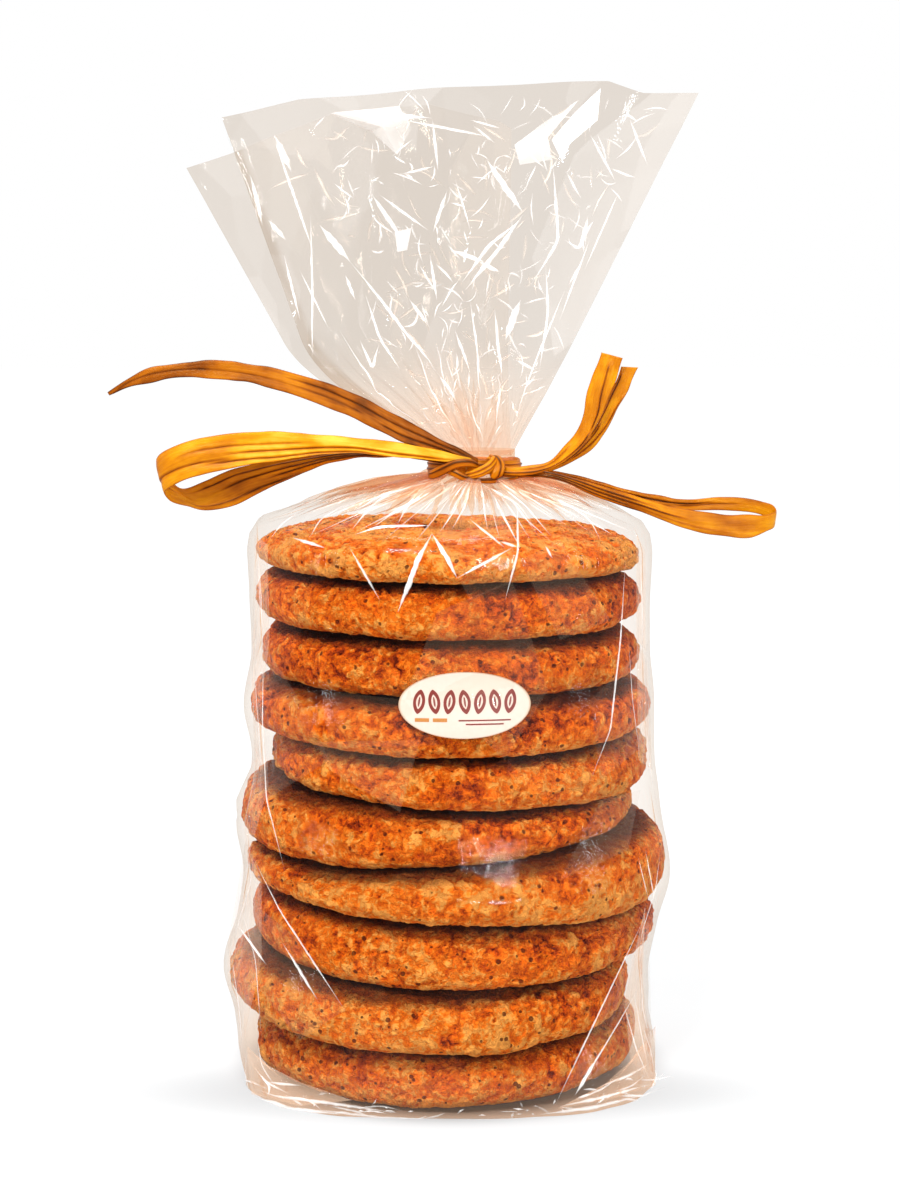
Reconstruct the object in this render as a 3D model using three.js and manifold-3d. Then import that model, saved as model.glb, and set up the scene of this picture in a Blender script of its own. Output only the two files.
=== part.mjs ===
// A clear film bag of ten round almond biscuits, gathered at the neck and tied with a raffia ribbon.
// Millimetres, +Z up. The origin is the centre of the bag's flat base; the oval label faces -Y.
import * as THREE from 'three';
import { mergeVertices } from 'three/addons/utils/BufferGeometryUtils.js';
import Module from 'manifold-3d';

const wasm = await Module();
wasm.setup();

// ---------------------------------------------------------------- driving dimensions
const GAP = 0.35;              // clearance between touching pieces

// The film stretched round the stack. Each row: height, half extent to the left (-X), right (+X), front (-Y), back (+Y).
const FILM = [
  [0, 47.2, 47.2, 45.2, 45.6],
  [6.5, 48.4, 46.4, 45.6, 46.2],
  [14, 49.6, 45.2, 46.6, 46.0],
  [23, 52.0, 45.2, 48.8, 45.8],
  [34, 48.8, 47.2, 47.6, 46.2],
  [46, 47.0, 50.0, 49.6, 46.2],
  [56, 48.4, 48.4, 47.2, 45.8],
  [64, 45.2, 47.0, 45.6, 44.6],
  [73, 44.2, 46.2, 45.2, 44.0],
  [84, 46.0, 46.2, 46.8, 45.4],
  [96, 44.4, 45.2, 45.0, 44.4],
  [108, 44.9, 45.0, 45.0, 44.8],
  [118, 45.5, 45.3, 45.0, 45.2],
  [122, 44.9, 44.7, 44.4, 44.6],
];
const BODY_STEPS = 21;         // loft steps up the body
const BASE_SQUARE = 3.1;       // superellipse exponent of the base: four soft corners
const BODY_ROUND = 2.12;       // exponent of the body above the lowest biscuit
const CORNER_FADE = 20;        // height over which the base corners fade out
const BASE_CRIMP = 0.5;        // folds of the gathered film round the base rim

const SHOULDER_R = 43.2;       // edge of the shoulder
const SHOULDER_Z = 124.6;
const SHOULDER_POWER = 1.35;   // profile of the shoulder between its edge and the neck
const SHOULDER_STEPS = 7;
const PLEATS = 12;             // radial pleats running into the neck
const PLEAT_DEPTH = 1.1;

const NECK = { x: 5.5, y: 0, a: 9.0, b: 5.2, z0: 135.1, z1: 141.0 };

const FILM_T = 1.2;            // thickness given to a free layer of film
// The open top: two layers that fan out from the neck. Edge lines are x, z points from left to right.
const FRONT = {
  mid: [[-31, 159.5], [-12, 164], [8, 165], [25.0, 160.5]],
  top: [[-50.1, 214.2], [-33, 217.9], [-8.6, 220.0], [11.1, 221.1], [34.7, 222.0], [42.5, 219.6], [54.2, 219.3]],
  y: [-1.6, -4.0, -7.0], waves: 3.5, wave: 2.4,
};
const BACK = {
  mid: [[-34.4, 159], [-18, 163], [-2, 164], [13, 161]],
  top: [[-59.6, 203.8], [-48.6, 207.3], [-26.7, 215.8], [-4.4, 217.8], [11.1, 214.1], [13.8, 212.4]],
  y: [1.6, 4.4, 9.0], waves: 2.5, wave: 2.0,
};

const LABEL = { x: 3.1, z: 90.3, w: 27.9, h: 13.9, t: 0.4 };

const RIBBON_T = 1.2;          // thickness of the folded raffia
const WRAP = { z: 137.4, h: 3.2, t: 1.3 };
// Each strand is drawn by its two edges. Each row: x, y, z on the upper edge, then x, y, z on the lower edge.
const LEFT_TAIL = [
  [6.2, -9, 139.6, 6.2, -9, 138.1],
  [-2.2, -10.4, 144.1, -2.2, -10.8, 140.9],
  [-11, -11.2, 148.8, -11, -12, 143.6],
  [-22, -11.8, 154.5, -21.5, -12.8, 148.7],
  [-32.9, -12.2, 158.1, -32.5, -13.2, 153.1],
  [-41.7, -12.4, 160.3, -42.1, -13.2, 155.9],
  [-50.5, -12.4, 161.2, -50, -13, 157.3],
  [-58.8, -12.2, 160.8, -58.8, -12.8, 157.6],
  [-65.9, -12, 159.6, -65.9, -12.4, 156.5],
  [-70.8, -11.8, 157.2, -70.6, -12, 155.5],
  [-75.3, -11.6, 154.2, -75, -11.6, 153.7],
];
const LEFT_LOOP = [
  [5.8, -9, 139.4, 5.8, -9, 137.8],
  [-2.2, -11, 141.5, -2.2, -11.4, 139.1],
  [-11, -12.2, 143.2, -11, -12.8, 140.1],
  [-22, -13, 144.6, -22, -13.8, 141.1],
  [-33, -13.2, 145.4, -33, -14, 140.2],
  [-42.9, -13.2, 145.7, -42.9, -14, 138.7],
  [-50.6, -13.2, 145.1, -50.6, -14, 137.1],
  [-57.2, -13, 143.7, -57.2, -13.8, 135.6],
  [-61.9, -12.6, 141.9, -61.3, -12.8, 133.7],
  [-64.5, -11.6, 140, -63.3, -11.2, 132.2],
  [-64.9, -9.6, 138.1, -62, -9.2, 130.1],
  [-63.2, -7.6, 136.6, -57.9, -8, 128.6],
  [-59.2, -7, 135.9, -53, -7.8, 128.4],
  [-53, -7, 136.6, -47.6, -7.8, 129.5],
  [-46.7, -7.4, 137.9, -41.4, -8, 132.6],
  [-35.5, -8, 139.5, -32.2, -8.4, 136.7],
  [-24.4, -8.2, 140.9, -23.3, -8.6, 139.1],
  [-11.1, -8.4, 141.4, -11.1, -8.6, 139.6],
  [4.4, -8.2, 138.9, 4.4, -8.2, 137.6],
];
const RIGHT_LOOP = [
  [8.9, -9, 137.8, 8.9, -9, 135.6],
  [15.5, -11, 137.6, 15.5, -11.2, 135.6],
  [23.2, -12.4, 136.8, 23.2, -12.6, 135],
  [33, -13.6, 134, 32.6, -14, 131.2],
  [41.8, -14.2, 131.4, 41.4, -14.6, 128.3],
  [50.6, -14.6, 129, 49.8, -15, 125.1],
  [59.5, -14.6, 127.7, 58.6, -15, 123],
  [66.6, -14, 127.4, 66.2, -14.4, 122.5],
  [70.7, -12.6, 127.7, 70.3, -12.8, 123.7],
  [72.2, -10.8, 128, 71.8, -11, 124.7],
  [71.1, -9, 129.4, 71.2, -9, 126],
  [66.8, -8, 130.6, 66.8, -8, 127.3],
  [60.1, -7.6, 131, 60.2, -7.6, 127.7],
  [52.3, -7.8, 130.5, 52.3, -7.8, 127.7],
  [44.5, -8.2, 131.5, 44.1, -8.2, 128.9],
  [33.3, -8.8, 134.3, 32.9, -8.8, 131.8],
  [23.3, -9.2, 136.7, 22.9, -9.2, 135],
  [15.5, -9.2, 137.4, 15.5, -9.2, 135.6],
  [8.9, -8.6, 137.6, 8.9, -8.6, 135.8],
];
const RIGHT_TAIL_A = [
  [8.9, -9.4, 137.9, 8.9, -9.4, 136.1],
  [15.5, -11.6, 137.8, 15.5, -12, 136.1],
  [21.6, -12.8, 139.2, 22, -13.2, 137.3],
  [25.3, -13.2, 142.8, 27.1, -13.6, 140.6],
  [27.9, -13.2, 146.1, 30.3, -13.6, 143.9],
  [29.4, -13, 150.5, 32.9, -13.4, 148.3],
  [30.3, -12.8, 154.8, 34.5, -13.2, 152.7],
  [31.6, -12.6, 159, 36.6, -13, 157.3],
  [33.1, -12.4, 163.1, 38, -12.8, 161.8],
];
const RIGHT_TAIL_B = [
  [9.3, -8.6, 137.4, 9.3, -8.6, 135.6],
  [16.6, -9.8, 137, 17.1, -9.8, 135.5],
  [23.4, -10.8, 138.6, 24.3, -10.8, 137.5],
  [28.3, -11.2, 142.4, 30.5, -11.2, 141.1],
  [31.5, -11.2, 146.4, 34.4, -11.2, 145.5],
  [33.9, -11, 150.8, 37.2, -11, 151.2],
  [35.9, -10.8, 155.2, 39.4, -10.8, 155.2],
  [37.6, -10.6, 159.9, 41.5, -10.6, 159.7],
];
const KNOT = [                 // centre and radii of the lumps of the knot
  [[-0.6, -8.4, 139.0], [4.4, 2.3, 1.9]],
  [[4.8, -9.0, 138.3], [3.6, 2.6, 2.4]],
  [[9.0, -8.8, 138.6], [2.4, 2.6, 2.6]],
  [[10.4, -9.6, 136.8], [3.4, 1.8, 1.6]],
];

// ---------------------------------------------------------------- helpers
const lerp = (a, b, t) => a + (b - a) * t;
const clamp = (v, a, b) => Math.min(b, Math.max(a, v));
const smooth = (t) => { t = clamp(t, 0, 1); return t * t * (3 - 2 * t); };

// Reads a table of rows at x with a monotone cubic through each column.
function table(rows, x) {
  const n = rows.length;
  x = clamp(x, rows[0][0], rows[n - 1][0]);
  let i = 0;
  while (i < n - 2 && x > rows[i + 1][0]) i++;
  const h = rows[i + 1][0] - rows[i][0], t = (x - rows[i][0]) / h;
  const out = [];
  for (let c = 1; c < rows[0].length; c++) {
    const d = (k) => (k < 0 || k >= n - 1 ? null : (rows[k + 1][c] - rows[k][c]) / (rows[k + 1][0] - rows[k][0]));
    const slope = (k) => {
      const a = d(k - 1), b = d(k);
      if (a === null) return b;
      if (b === null) return a;
      return a * b <= 0 ? 0 : (2 * a * b) / (a + b);
    };
    const m0 = slope(i) * h, m1 = slope(i + 1) * h, p0 = rows[i][c], p1 = rows[i + 1][c];
    const t2 = t * t, t3 = t2 * t;
    out.push((2 * t3 - 3 * t2 + 1) * p0 + (t3 - 2 * t2 + t) * m0 + (-2 * t3 + 3 * t2) * p1 + (t3 - t2) * m1);
  }
  return out;
}

// Point on an oval with its own half extent on each side and exponent n.
function oval(theta, left, right, front, back, n) {
  const c = Math.cos(theta), s = Math.sin(theta), e = 2 / n;
  return [(c < 0 ? -left : right) * Math.abs(c) ** e, (s < 0 ? -front : back) * Math.abs(s) ** e];
}

function bodyExponent(z) {
  return lerp(BASE_SQUARE, BODY_ROUND, smooth(z / CORNER_FADE));
}

function bodyPoint(theta, z) {
  const [l, r, f, b] = table(FILM, z);
  return oval(theta, l, r, f, b, bodyExponent(z));
}

// Distance of the front of the body from the centre plane at x, z.
function frontY(x, z) {
  const [l, r, f] = table(FILM, z), n = bodyExponent(z), a = x < 0 ? l : r;
  return -f * Math.max(0, 1 - Math.abs(x / a) ** n) ** (1 / n);
}

// Closed solid through rings of points; both ends are capped by a fan from the ring's centre.
function loft(rings) {
  const n = rings[0].length, pos = [], idx = [];
  for (const ring of rings) for (const p of ring) pos.push(...p);
  for (let j = 0; j < rings.length - 1; j++) {
    for (let i = 0; i < n; i++) {
      const a = j * n + i, b = j * n + ((i + 1) % n), c = a + n, d = b + n;
      idx.push(a, b, d, a, d, c);
    }
  }
  const cap = (start, flip) => {
    const centre = [0, 0, 0];
    for (let i = 0; i < n; i++) for (let k = 0; k < 3; k++) centre[k] += pos[(start + i) * 3 + k] / n;
    const m = pos.length / 3;
    pos.push(...centre);
    for (let i = 0; i < n; i++) {
      const a = start + i, b = start + ((i + 1) % n);
      idx.push(...(flip ? [b, a, m] : [a, b, m]));
    }
  };
  cap(0, true);
  cap((rings.length - 1) * n, false);
  const g = new THREE.BufferGeometry();
  g.setAttribute('position', new THREE.Float32BufferAttribute(pos, 3));
  g.setIndex(idx);
  return g;
}

// Closed plate between two grids of points of the same size, front facing -Y.
function plate(front, back) {
  const rows = front.length, cols = front[0].length, pos = [], idx = [];
  for (const grid of [front, back]) for (const row of grid) for (const p of row) pos.push(...p);
  const F = (j, i) => j * cols + i, B = (j, i) => rows * cols + j * cols + i;
  const quad = (a, b, c, d) => idx.push(a, b, c, a, c, d);
  for (let j = 0; j < rows - 1; j++) {
    for (let i = 0; i < cols - 1; i++) {
      quad(F(j, i), F(j, i + 1), F(j + 1, i + 1), F(j + 1, i));
      quad(B(j, i), B(j + 1, i), B(j + 1, i + 1), B(j, i + 1));
    }
  }
  for (let i = 0; i < cols - 1; i++) {
    quad(B(0, i), B(0, i + 1), F(0, i + 1), F(0, i));
    quad(F(rows - 1, i), F(rows - 1, i + 1), B(rows - 1, i + 1), B(rows - 1, i));
  }
  for (let j = 0; j < rows - 1; j++) {
    quad(B(j, 0), F(j, 0), F(j + 1, 0), B(j + 1, 0));
    quad(F(j, cols - 1), B(j, cols - 1), B(j + 1, cols - 1), F(j + 1, cols - 1));
  }
  const g = new THREE.BufferGeometry();
  g.setAttribute('position', new THREE.Float32BufferAttribute(pos, 3));
  g.setIndex(idx);
  return g;
}

function toSolid(geometry) {
  let g = geometry.clone();
  for (const name of Object.keys(g.attributes)) if (name !== 'position') g.deleteAttribute(name);
  g = mergeVertices(g, 1e-4);
  return new wasm.Manifold(new wasm.Mesh({
    numProp: 3,
    vertProperties: new Float32Array(g.attributes.position.array),
    triVerts: new Uint32Array(g.index.array),
  }));
}

function toGeometry(solid) {
  const m = solid.getMesh();
  const g = new THREE.BufferGeometry();
  const pos = new Float32Array((m.vertProperties.length / m.numProp) * 3);
  for (let i = 0; i < pos.length / 3; i++) for (let k = 0; k < 3; k++) pos[i * 3 + k] = m.vertProperties[i * m.numProp + k];
  g.setAttribute('position', new THREE.BufferAttribute(pos, 3));
  g.setIndex(new THREE.BufferAttribute(new Uint32Array(m.triVerts), 1));
  g.computeVertexNormals();
  return g;
}

function union(geometries) {
  let solid = toSolid(geometries[0]);
  for (const g of geometries.slice(1)) solid = solid.add(toSolid(g));
  return toGeometry(solid);
}

// Point at u on a polyline of x, z points, by its share of x.
function along(line, u) {
  const n = line.length - 1, x = lerp(line[0][0], line[n][0], u);
  let i = 0;
  while (i < n - 1 && x > line[i + 1][0]) i++;
  return [x, lerp(line[i][1], line[i + 1][1], (x - line[i][0]) / (line[i + 1][0] - line[i][0]))];
}

// ---------------------------------------------------------------- bag
const SIDES = 48;

function bodyGeometry() {
  const rings = [];
  const top = FILM[FILM.length - 1][0];
  for (let j = 0; j <= BODY_STEPS; j++) {
    const z = top * j / BODY_STEPS, ring = [];
    const crimp = BASE_CRIMP * Math.exp(-z / 3.5);
    for (let i = 0; i < SIDES; i++) {
      const th = (2 * Math.PI * i) / SIDES;
      const [x, y] = bodyPoint(th, z);
      const k = 1 - (crimp * (0.5 + 0.5 * Math.cos(15 * th + 0.6))) / 46;
      ring.push([x * k, y * k, z]);
    }
    rings.push(ring);
  }
  for (let j = 0; j <= SHOULDER_STEPS; j++) {
    const k = (1 - j / SHOULDER_STEPS) ** 1.25, ring = [];
    for (let i = 0; i < SIDES; i++) {
      const th = (2 * Math.PI * i) / SIDES;
      const n = [NECK.x + NECK.a * Math.cos(th), NECK.y + NECK.b * Math.sin(th)];
      const e = [SHOULDER_R * Math.cos(th), SHOULDER_R * Math.sin(th)];
      const fold = PLEAT_DEPTH * Math.cos(PLEATS * th) * Math.sin(Math.PI * Math.sqrt(k));
      ring.push([lerp(n[0], e[0], k), lerp(n[1], e[1], k), lerp(NECK.z0, SHOULDER_Z, k ** SHOULDER_POWER) + fold]);
    }
    rings.push(ring);
  }
  for (const t of [0.5, 1]) {
    const ring = [];
    for (let i = 0; i < SIDES; i++) {
      const th = (2 * Math.PI * i) / SIDES;
      ring.push([NECK.x + NECK.a * Math.cos(th), NECK.y + NECK.b * Math.sin(th), lerp(NECK.z0, NECK.z1, t)]);
    }
    rings.push(ring);
  }
  return loft(rings);
}

// One layer of the fanned top: it leaves the neck as a bundle and spreads to its top edge.
function fanGeometry(layer, cols, rows) {
  const front = [], back = [];
  const depth = 0.8;           // share of the neck's half depth that a layer leaves from
  for (let j = 0; j <= rows; j++) {
    const v = j / rows, fr = [], bk = [];
    for (let i = 0; i <= cols; i++) {
      const u = i / cols;
      const p0 = [NECK.x + NECK.a * 0.92 * (2 * u - 1), NECK.z1 - 1.4];
      const p1 = along(layer.mid, u), p2 = along(layer.top, u);
      const s = 0.28;          // share of the layer's run at which its middle line lies
      // two straight runs, the second from the middle line, with the corner between them eased
      const ease = Math.max(0, 0.09 - Math.abs(v - s)) ** 2 / 0.36;
      const bez = (a, b, c) => {
        const line = v < s ? lerp(a, b, v / s) : lerp(b, c, (v - s) / (1 - s));
        return line + ease * ((c - b) / (1 - s) - (b - a) / s);
      };
      const x = bez(p0[0], p1[0], p2[0]), z = bez(p0[1], p1[1], p2[1]);
      const spread = smooth(v / 0.5);
      const w = layer.wave * spread * Math.sin(Math.PI * (2 * layer.waves * u + 0.3)) * (0.6 + 0.4 * v);
      const y = bez(layer.y[0], layer.y[1], layer.y[2]) + w;
      const t = lerp(NECK.b * depth * Math.sqrt(Math.max(0.04, 1 - (2 * u - 1) ** 2)), FILM_T, smooth(v / 0.16));
      fr.push([x, y - t / 2, z]);
      bk.push([x, y + t / 2, z]);
    }
    front.push(fr);
    back.push(bk);
  }
  return plate(front, back);
}

// ---------------------------------------------------------------- label
function labelGeometry() {
  const S = 3, ringPts = 30;
  const at = (x, z, off) => [x, frontY(x, z) - off, z];
  const pos = [], idx = [];
  for (const off of [GAP + LABEL.t, GAP]) {
    const base = pos.length / 3;
    pos.push(...at(LABEL.x, LABEL.z, off));
    for (let j = 1; j <= S; j++) {
      for (let i = 0; i < ringPts; i++) {
        const th = (2 * Math.PI * i) / ringPts, k = j / S;
        pos.push(...at(LABEL.x + (LABEL.w / 2) * k * Math.cos(th), LABEL.z + (LABEL.h / 2) * k * Math.sin(th), off));
      }
    }
    const P = (j, i) => (j === 0 ? base : base + 1 + (j - 1) * ringPts + (i % ringPts));
    const tri = (a, b, c) => idx.push(...(off > GAP ? [a, b, c] : [a, c, b]));
    for (let i = 0; i < ringPts; i++) tri(P(0, 0), P(1, i), P(1, i + 1));
    for (let j = 1; j < S; j++) {
      for (let i = 0; i < ringPts; i++) {
        tri(P(j, i), P(j + 1, i), P(j + 1, i + 1));
        tri(P(j, i), P(j + 1, i + 1), P(j, i + 1));
      }
    }
  }
  const half = 1 + S * ringPts, edge = 1 + (S - 1) * ringPts;
  for (let i = 0; i < ringPts; i++) {
    const a = edge + i, b = edge + ((i + 1) % ringPts);
    idx.push(a, half + a, half + b, a, half + b, b);
  }
  const g = new THREE.BufferGeometry();
  g.setAttribute('position', new THREE.Float32BufferAttribute(pos, 3));
  g.setIndex(idx);
  g.computeVertexNormals();
  return g;
}

// ---------------------------------------------------------------- raffia
// A flat strand: a six-sided section with thin edges, stretched between its two edge lines.
function strand(rows, steps) {
  const edge = (k) => new THREE.CatmullRomCurve3(rows.map((r) => new THREE.Vector3(r[k], r[k + 1], r[k + 2])), false, 'catmullrom', 0.5);
  const upper = edge(0), lower = edge(3), rings = [];
  for (let j = 0; j <= steps; j++) {
    const t = j / steps, A = upper.getPoint(t), B = lower.getPoint(t);
    const d = upper.getTangent(t).add(lower.getTangent(t)).normalize();
    const W = B.clone().sub(A), w = W.length(), c = A.clone().add(B).multiplyScalar(0.5);
    W.normalize();
    const N = new THREE.Vector3().crossVectors(d, W).normalize();
    const a = w / 2, b = RIBBON_T / 2, m = a * 0.7, ring = [];
    for (const [p, q] of [[-a, 0], [-m, -b], [m, -b], [a, 0], [m, b], [-m, b]]) {
      const v = c.clone().addScaledVector(W, p).addScaledVector(N, q);
      ring.push([v.x, v.y, v.z]);
    }
    rings.push(ring);
  }
  return loft(rings);
}

function wrapGeometry() {
  const S = 32;
  const a = NECK.a + GAP, b = NECK.b + GAP, h = WRAP.h / 2;
  const pos = [], idx = [];
  const section = [[0, -h], [WRAP.t * 0.8, -h], [WRAP.t, -h * 0.4], [WRAP.t, h * 0.4], [WRAP.t * 0.8, h], [0, h]];
  for (let i = 0; i < S; i++) {
    const th = (2 * Math.PI * i) / S;
    for (const [o, z] of section) pos.push(NECK.x + (a + o) * Math.cos(th), NECK.y + (b + o) * Math.sin(th), WRAP.z + z);
  }
  const m = section.length;
  for (let i = 0; i < S; i++) {
    for (let k = 0; k < m; k++) {
      const p = i * m + k, q = i * m + ((k + 1) % m), r = ((i + 1) % S) * m + k, s = ((i + 1) % S) * m + ((k + 1) % m);
      idx.push(p, r, s, p, s, q);
    }
  }
  const g = new THREE.BufferGeometry();
  g.setAttribute('position', new THREE.Float32BufferAttribute(pos, 3));
  g.setIndex(idx);
  return g;
}

function lump(centre, radii) {
  const g = new THREE.SphereGeometry(1, 12, 8);
  g.scale(...radii);
  g.translate(...centre);
  return g;
}

// ---------------------------------------------------------------- assembly
const bagGeometry = union([bodyGeometry(), fanGeometry(FRONT, 28, 10), fanGeometry(BACK, 20, 9)]);
const raffiaGeometry = union([
  wrapGeometry(),
  ...KNOT.map(([c, r]) => lump(c, r)),
  strand(LEFT_TAIL, 20),
  strand(LEFT_LOOP, 40),
  strand(RIGHT_LOOP, 40),
  strand(RIGHT_TAIL_A, 16),
  strand(RIGHT_TAIL_B, 14),
]);

const film = new THREE.MeshStandardMaterial({ name: 'film', color: 0xe8dccb, roughness: 0.12, metalness: 0 });
const paper = new THREE.MeshStandardMaterial({ name: 'label', color: 0xf1e2cf, roughness: 0.55, metalness: 0 });
const raffia = new THREE.MeshStandardMaterial({ name: 'raffia', color: 0xc67a12, roughness: 0.45, metalness: 0 });

function piece(name, geometry, material) {
  const m = new THREE.Mesh(geometry, material);
  m.name = name;
  return m;
}

const root = new THREE.Group();
root.name = 'biscuit_bag';
root.add(piece('bag', bagGeometry, film));
root.add(piece('label', labelGeometry(), paper));
root.add(piece('raffia_tie', raffiaGeometry, raffia));

export default root;
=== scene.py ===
import math

import bmesh
import bpy
import numpy as np
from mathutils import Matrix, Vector
from mathutils.geometry import delaunay_2d_cdt


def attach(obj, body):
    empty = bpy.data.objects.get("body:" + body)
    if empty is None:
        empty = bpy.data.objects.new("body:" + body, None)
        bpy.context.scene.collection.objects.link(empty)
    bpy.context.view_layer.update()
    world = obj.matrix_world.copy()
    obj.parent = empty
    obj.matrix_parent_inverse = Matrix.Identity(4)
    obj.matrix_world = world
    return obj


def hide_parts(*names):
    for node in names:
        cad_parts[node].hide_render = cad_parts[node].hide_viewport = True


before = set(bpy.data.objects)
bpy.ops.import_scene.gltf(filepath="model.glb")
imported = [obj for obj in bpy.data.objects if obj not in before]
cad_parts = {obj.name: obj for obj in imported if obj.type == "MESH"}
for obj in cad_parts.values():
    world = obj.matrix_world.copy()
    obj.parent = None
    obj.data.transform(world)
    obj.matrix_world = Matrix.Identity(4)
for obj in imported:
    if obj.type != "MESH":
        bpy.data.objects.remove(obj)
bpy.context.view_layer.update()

MM = 0.001
rng = np.random.default_rng(7)

# ------------------------------------------------------------------ camera of the photograph, in millimetres
CAM_D, CAM_H, FOCAL, PXMM = 598.0, 182.85, 2660.0, 0.23
PITCH = math.atan2(CAM_H, CAM_D) - math.atan(457.0 / 2660.0)


def unproject(px, py, y=0.0):
    """x, z in mm of the point of the plane at depth y that shows at a pixel of the 900 x 1200 frame."""
    u, w = (px - 450.0) / FOCAL, (600.0 - py) / FOCAL
    c, s = math.cos(PITCH), math.sin(PITCH)
    yy = y + CAM_D
    Z = yy * (w * c - s) / (c + w * s)
    return u * (yy * c - Z * s), Z + CAM_H


# ------------------------------------------------------------------ noise
def _hash(ix, iy, iz, seed):
    h = (ix.astype(np.int64) * 73856093) ^ (iy.astype(np.int64) * 19349663) ^ (iz.astype(np.int64) * 83492791) ^ (seed * 2654435761)
    h &= 0xFFFFFFFF
    h = (h ^ (h >> 15)) * 0x2C1B3C6D & 0xFFFFFFFF
    h = (h ^ (h >> 12)) * 0x297A2D39 & 0xFFFFFFFF
    h = h ^ (h >> 15)
    return (h & 0xFFFFFF) / float(0x1000000)


def vnoise(P, seed=0):
    """Smooth value noise in -1..1 at points P."""
    I = np.floor(P).astype(np.int64)
    F = P - I
    F = F * F * F * (F * (F * 6 - 15) + 10)
    out = 0
    for dx in (0, 1):
        for dy in (0, 1):
            for dz in (0, 1):
                w = (F[:, 0] if dx else 1 - F[:, 0]) * (F[:, 1] if dy else 1 - F[:, 1]) * (F[:, 2] if dz else 1 - F[:, 2])
                out = out + w * _hash(I[:, 0] + dx, I[:, 1] + dy, I[:, 2] + dz, seed)
    return out * 2 - 1


def fbm(P, octaves, seed=0, gain=0.5):
    out, a, t = 0, 1.0, 0.0
    for o in range(octaves):
        out = out + a * vnoise(P * (2.03 ** o) + 17.3 * o, seed + o)
        t += a
        a *= gain
    return out / t


def worley(P, seed=0):
    """Distance to the nearest and second nearest feature point, and the nearest cell's own random number."""
    I = np.floor(P).astype(np.int64)
    f1 = np.full(len(P), 9.0)
    f2 = np.full(len(P), 9.0)
    cid = np.zeros(len(P))
    for dx in (-1, 0, 1):
        for dy in (-1, 0, 1):
            for dz in (-1, 0, 1):
                c = I + np.array([dx, dy, dz])
                q = np.stack([c[:, k] + _hash(c[:, 0], c[:, 1], c[:, 2], seed + 11 * k) for k in range(3)], -1)
                d = np.sqrt(((q - P) ** 2).sum(-1))
                r = _hash(c[:, 0], c[:, 1], c[:, 2], seed + 77)
                near = d < f1
                f2 = np.where(near, f1, np.minimum(f2, d))
                cid = np.where(near, r, cid)
                f1 = np.where(near, d, f1)
    return f1, f2, cid


def smooth(t):
    t = np.clip(t, 0, 1)
    return t * t * (3 - 2 * t)


# ------------------------------------------------------------------ mesh helpers
def volume(verts, faces):
    """Signed volume inside a closed mesh."""
    c = verts.mean(0)
    total = 0.0
    groups = {}
    for f in ([faces] if isinstance(faces, np.ndarray) else []):
        groups[f.shape[1]] = f
    if not groups:
        for f in faces:
            groups.setdefault(len(f), []).append(f)
    for n, f in groups.items():
        f = np.asarray(f)
        p = verts[f] - c
        for k in range(1, n - 1):
            total += (p[:, 0] * np.cross(p[:, k], p[:, k + 1])).sum() / 6
    return total


def new_mesh(name, verts, faces, materials, shade_smooth=True, attrs=None, face_mats=None, closed=False):
    """verts in mm, faces a list or array of equal or mixed corners."""
    me = bpy.data.meshes.new(name)
    verts = np.asarray(verts, float)
    if closed and volume(verts, faces) < 0:
        faces = faces[:, ::-1] if isinstance(faces, np.ndarray) else [tuple(reversed(f)) for f in faces]
    if isinstance(faces, np.ndarray):
        n = faces.shape[1]
        me.vertices.add(len(verts))
        me.vertices.foreach_set("co", (verts * MM).astype(np.float32).ravel())
        me.loops.add(faces.size)
        me.loops.foreach_set("vertex_index", faces.astype(np.int32).ravel())
        me.polygons.add(len(faces))
        me.polygons.foreach_set("loop_start", np.arange(0, faces.size, n, dtype=np.int32))
        me.update(calc_edges=True)
        me.validate()
    else:
        me.from_pydata((verts * MM).tolist(), [], faces)
    me.polygons.foreach_set("use_smooth", np.full(len(me.polygons), bool(shade_smooth)))
    for key, val in (attrs or {}).items():
        a = me.attributes.new(key, "FLOAT", "POINT")
        a.data.foreach_set("value", np.asarray(val, np.float32))
    ob = bpy.data.objects.new(name, me)
    bpy.context.scene.collection.objects.link(ob)
    for m in materials:
        me.materials.append(m)
    if face_mats is not None:
        me.polygons.foreach_set("material_index", np.asarray(face_mats, np.int32))
    me.update()
    return ob


def grid_quads(rows, cols, wrap_rows=False, wrap_cols=False):
    j = np.arange(rows if wrap_rows else rows - 1)
    i = np.arange(cols if wrap_cols else cols - 1)
    J, I = np.meshgrid(j, i, indexing="ij")
    J2, I2 = (J + 1) % rows, (I + 1) % cols
    return np.stack([J * cols + I, J * cols + I2, J2 * cols + I2, J2 * cols + I], -1).reshape(-1, 4)


# ------------------------------------------------------------------ node helpers
def material(name):
    m = bpy.data.materials.new(name)
    m.use_nodes = True
    m.node_tree.nodes.clear()
    return m


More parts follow.
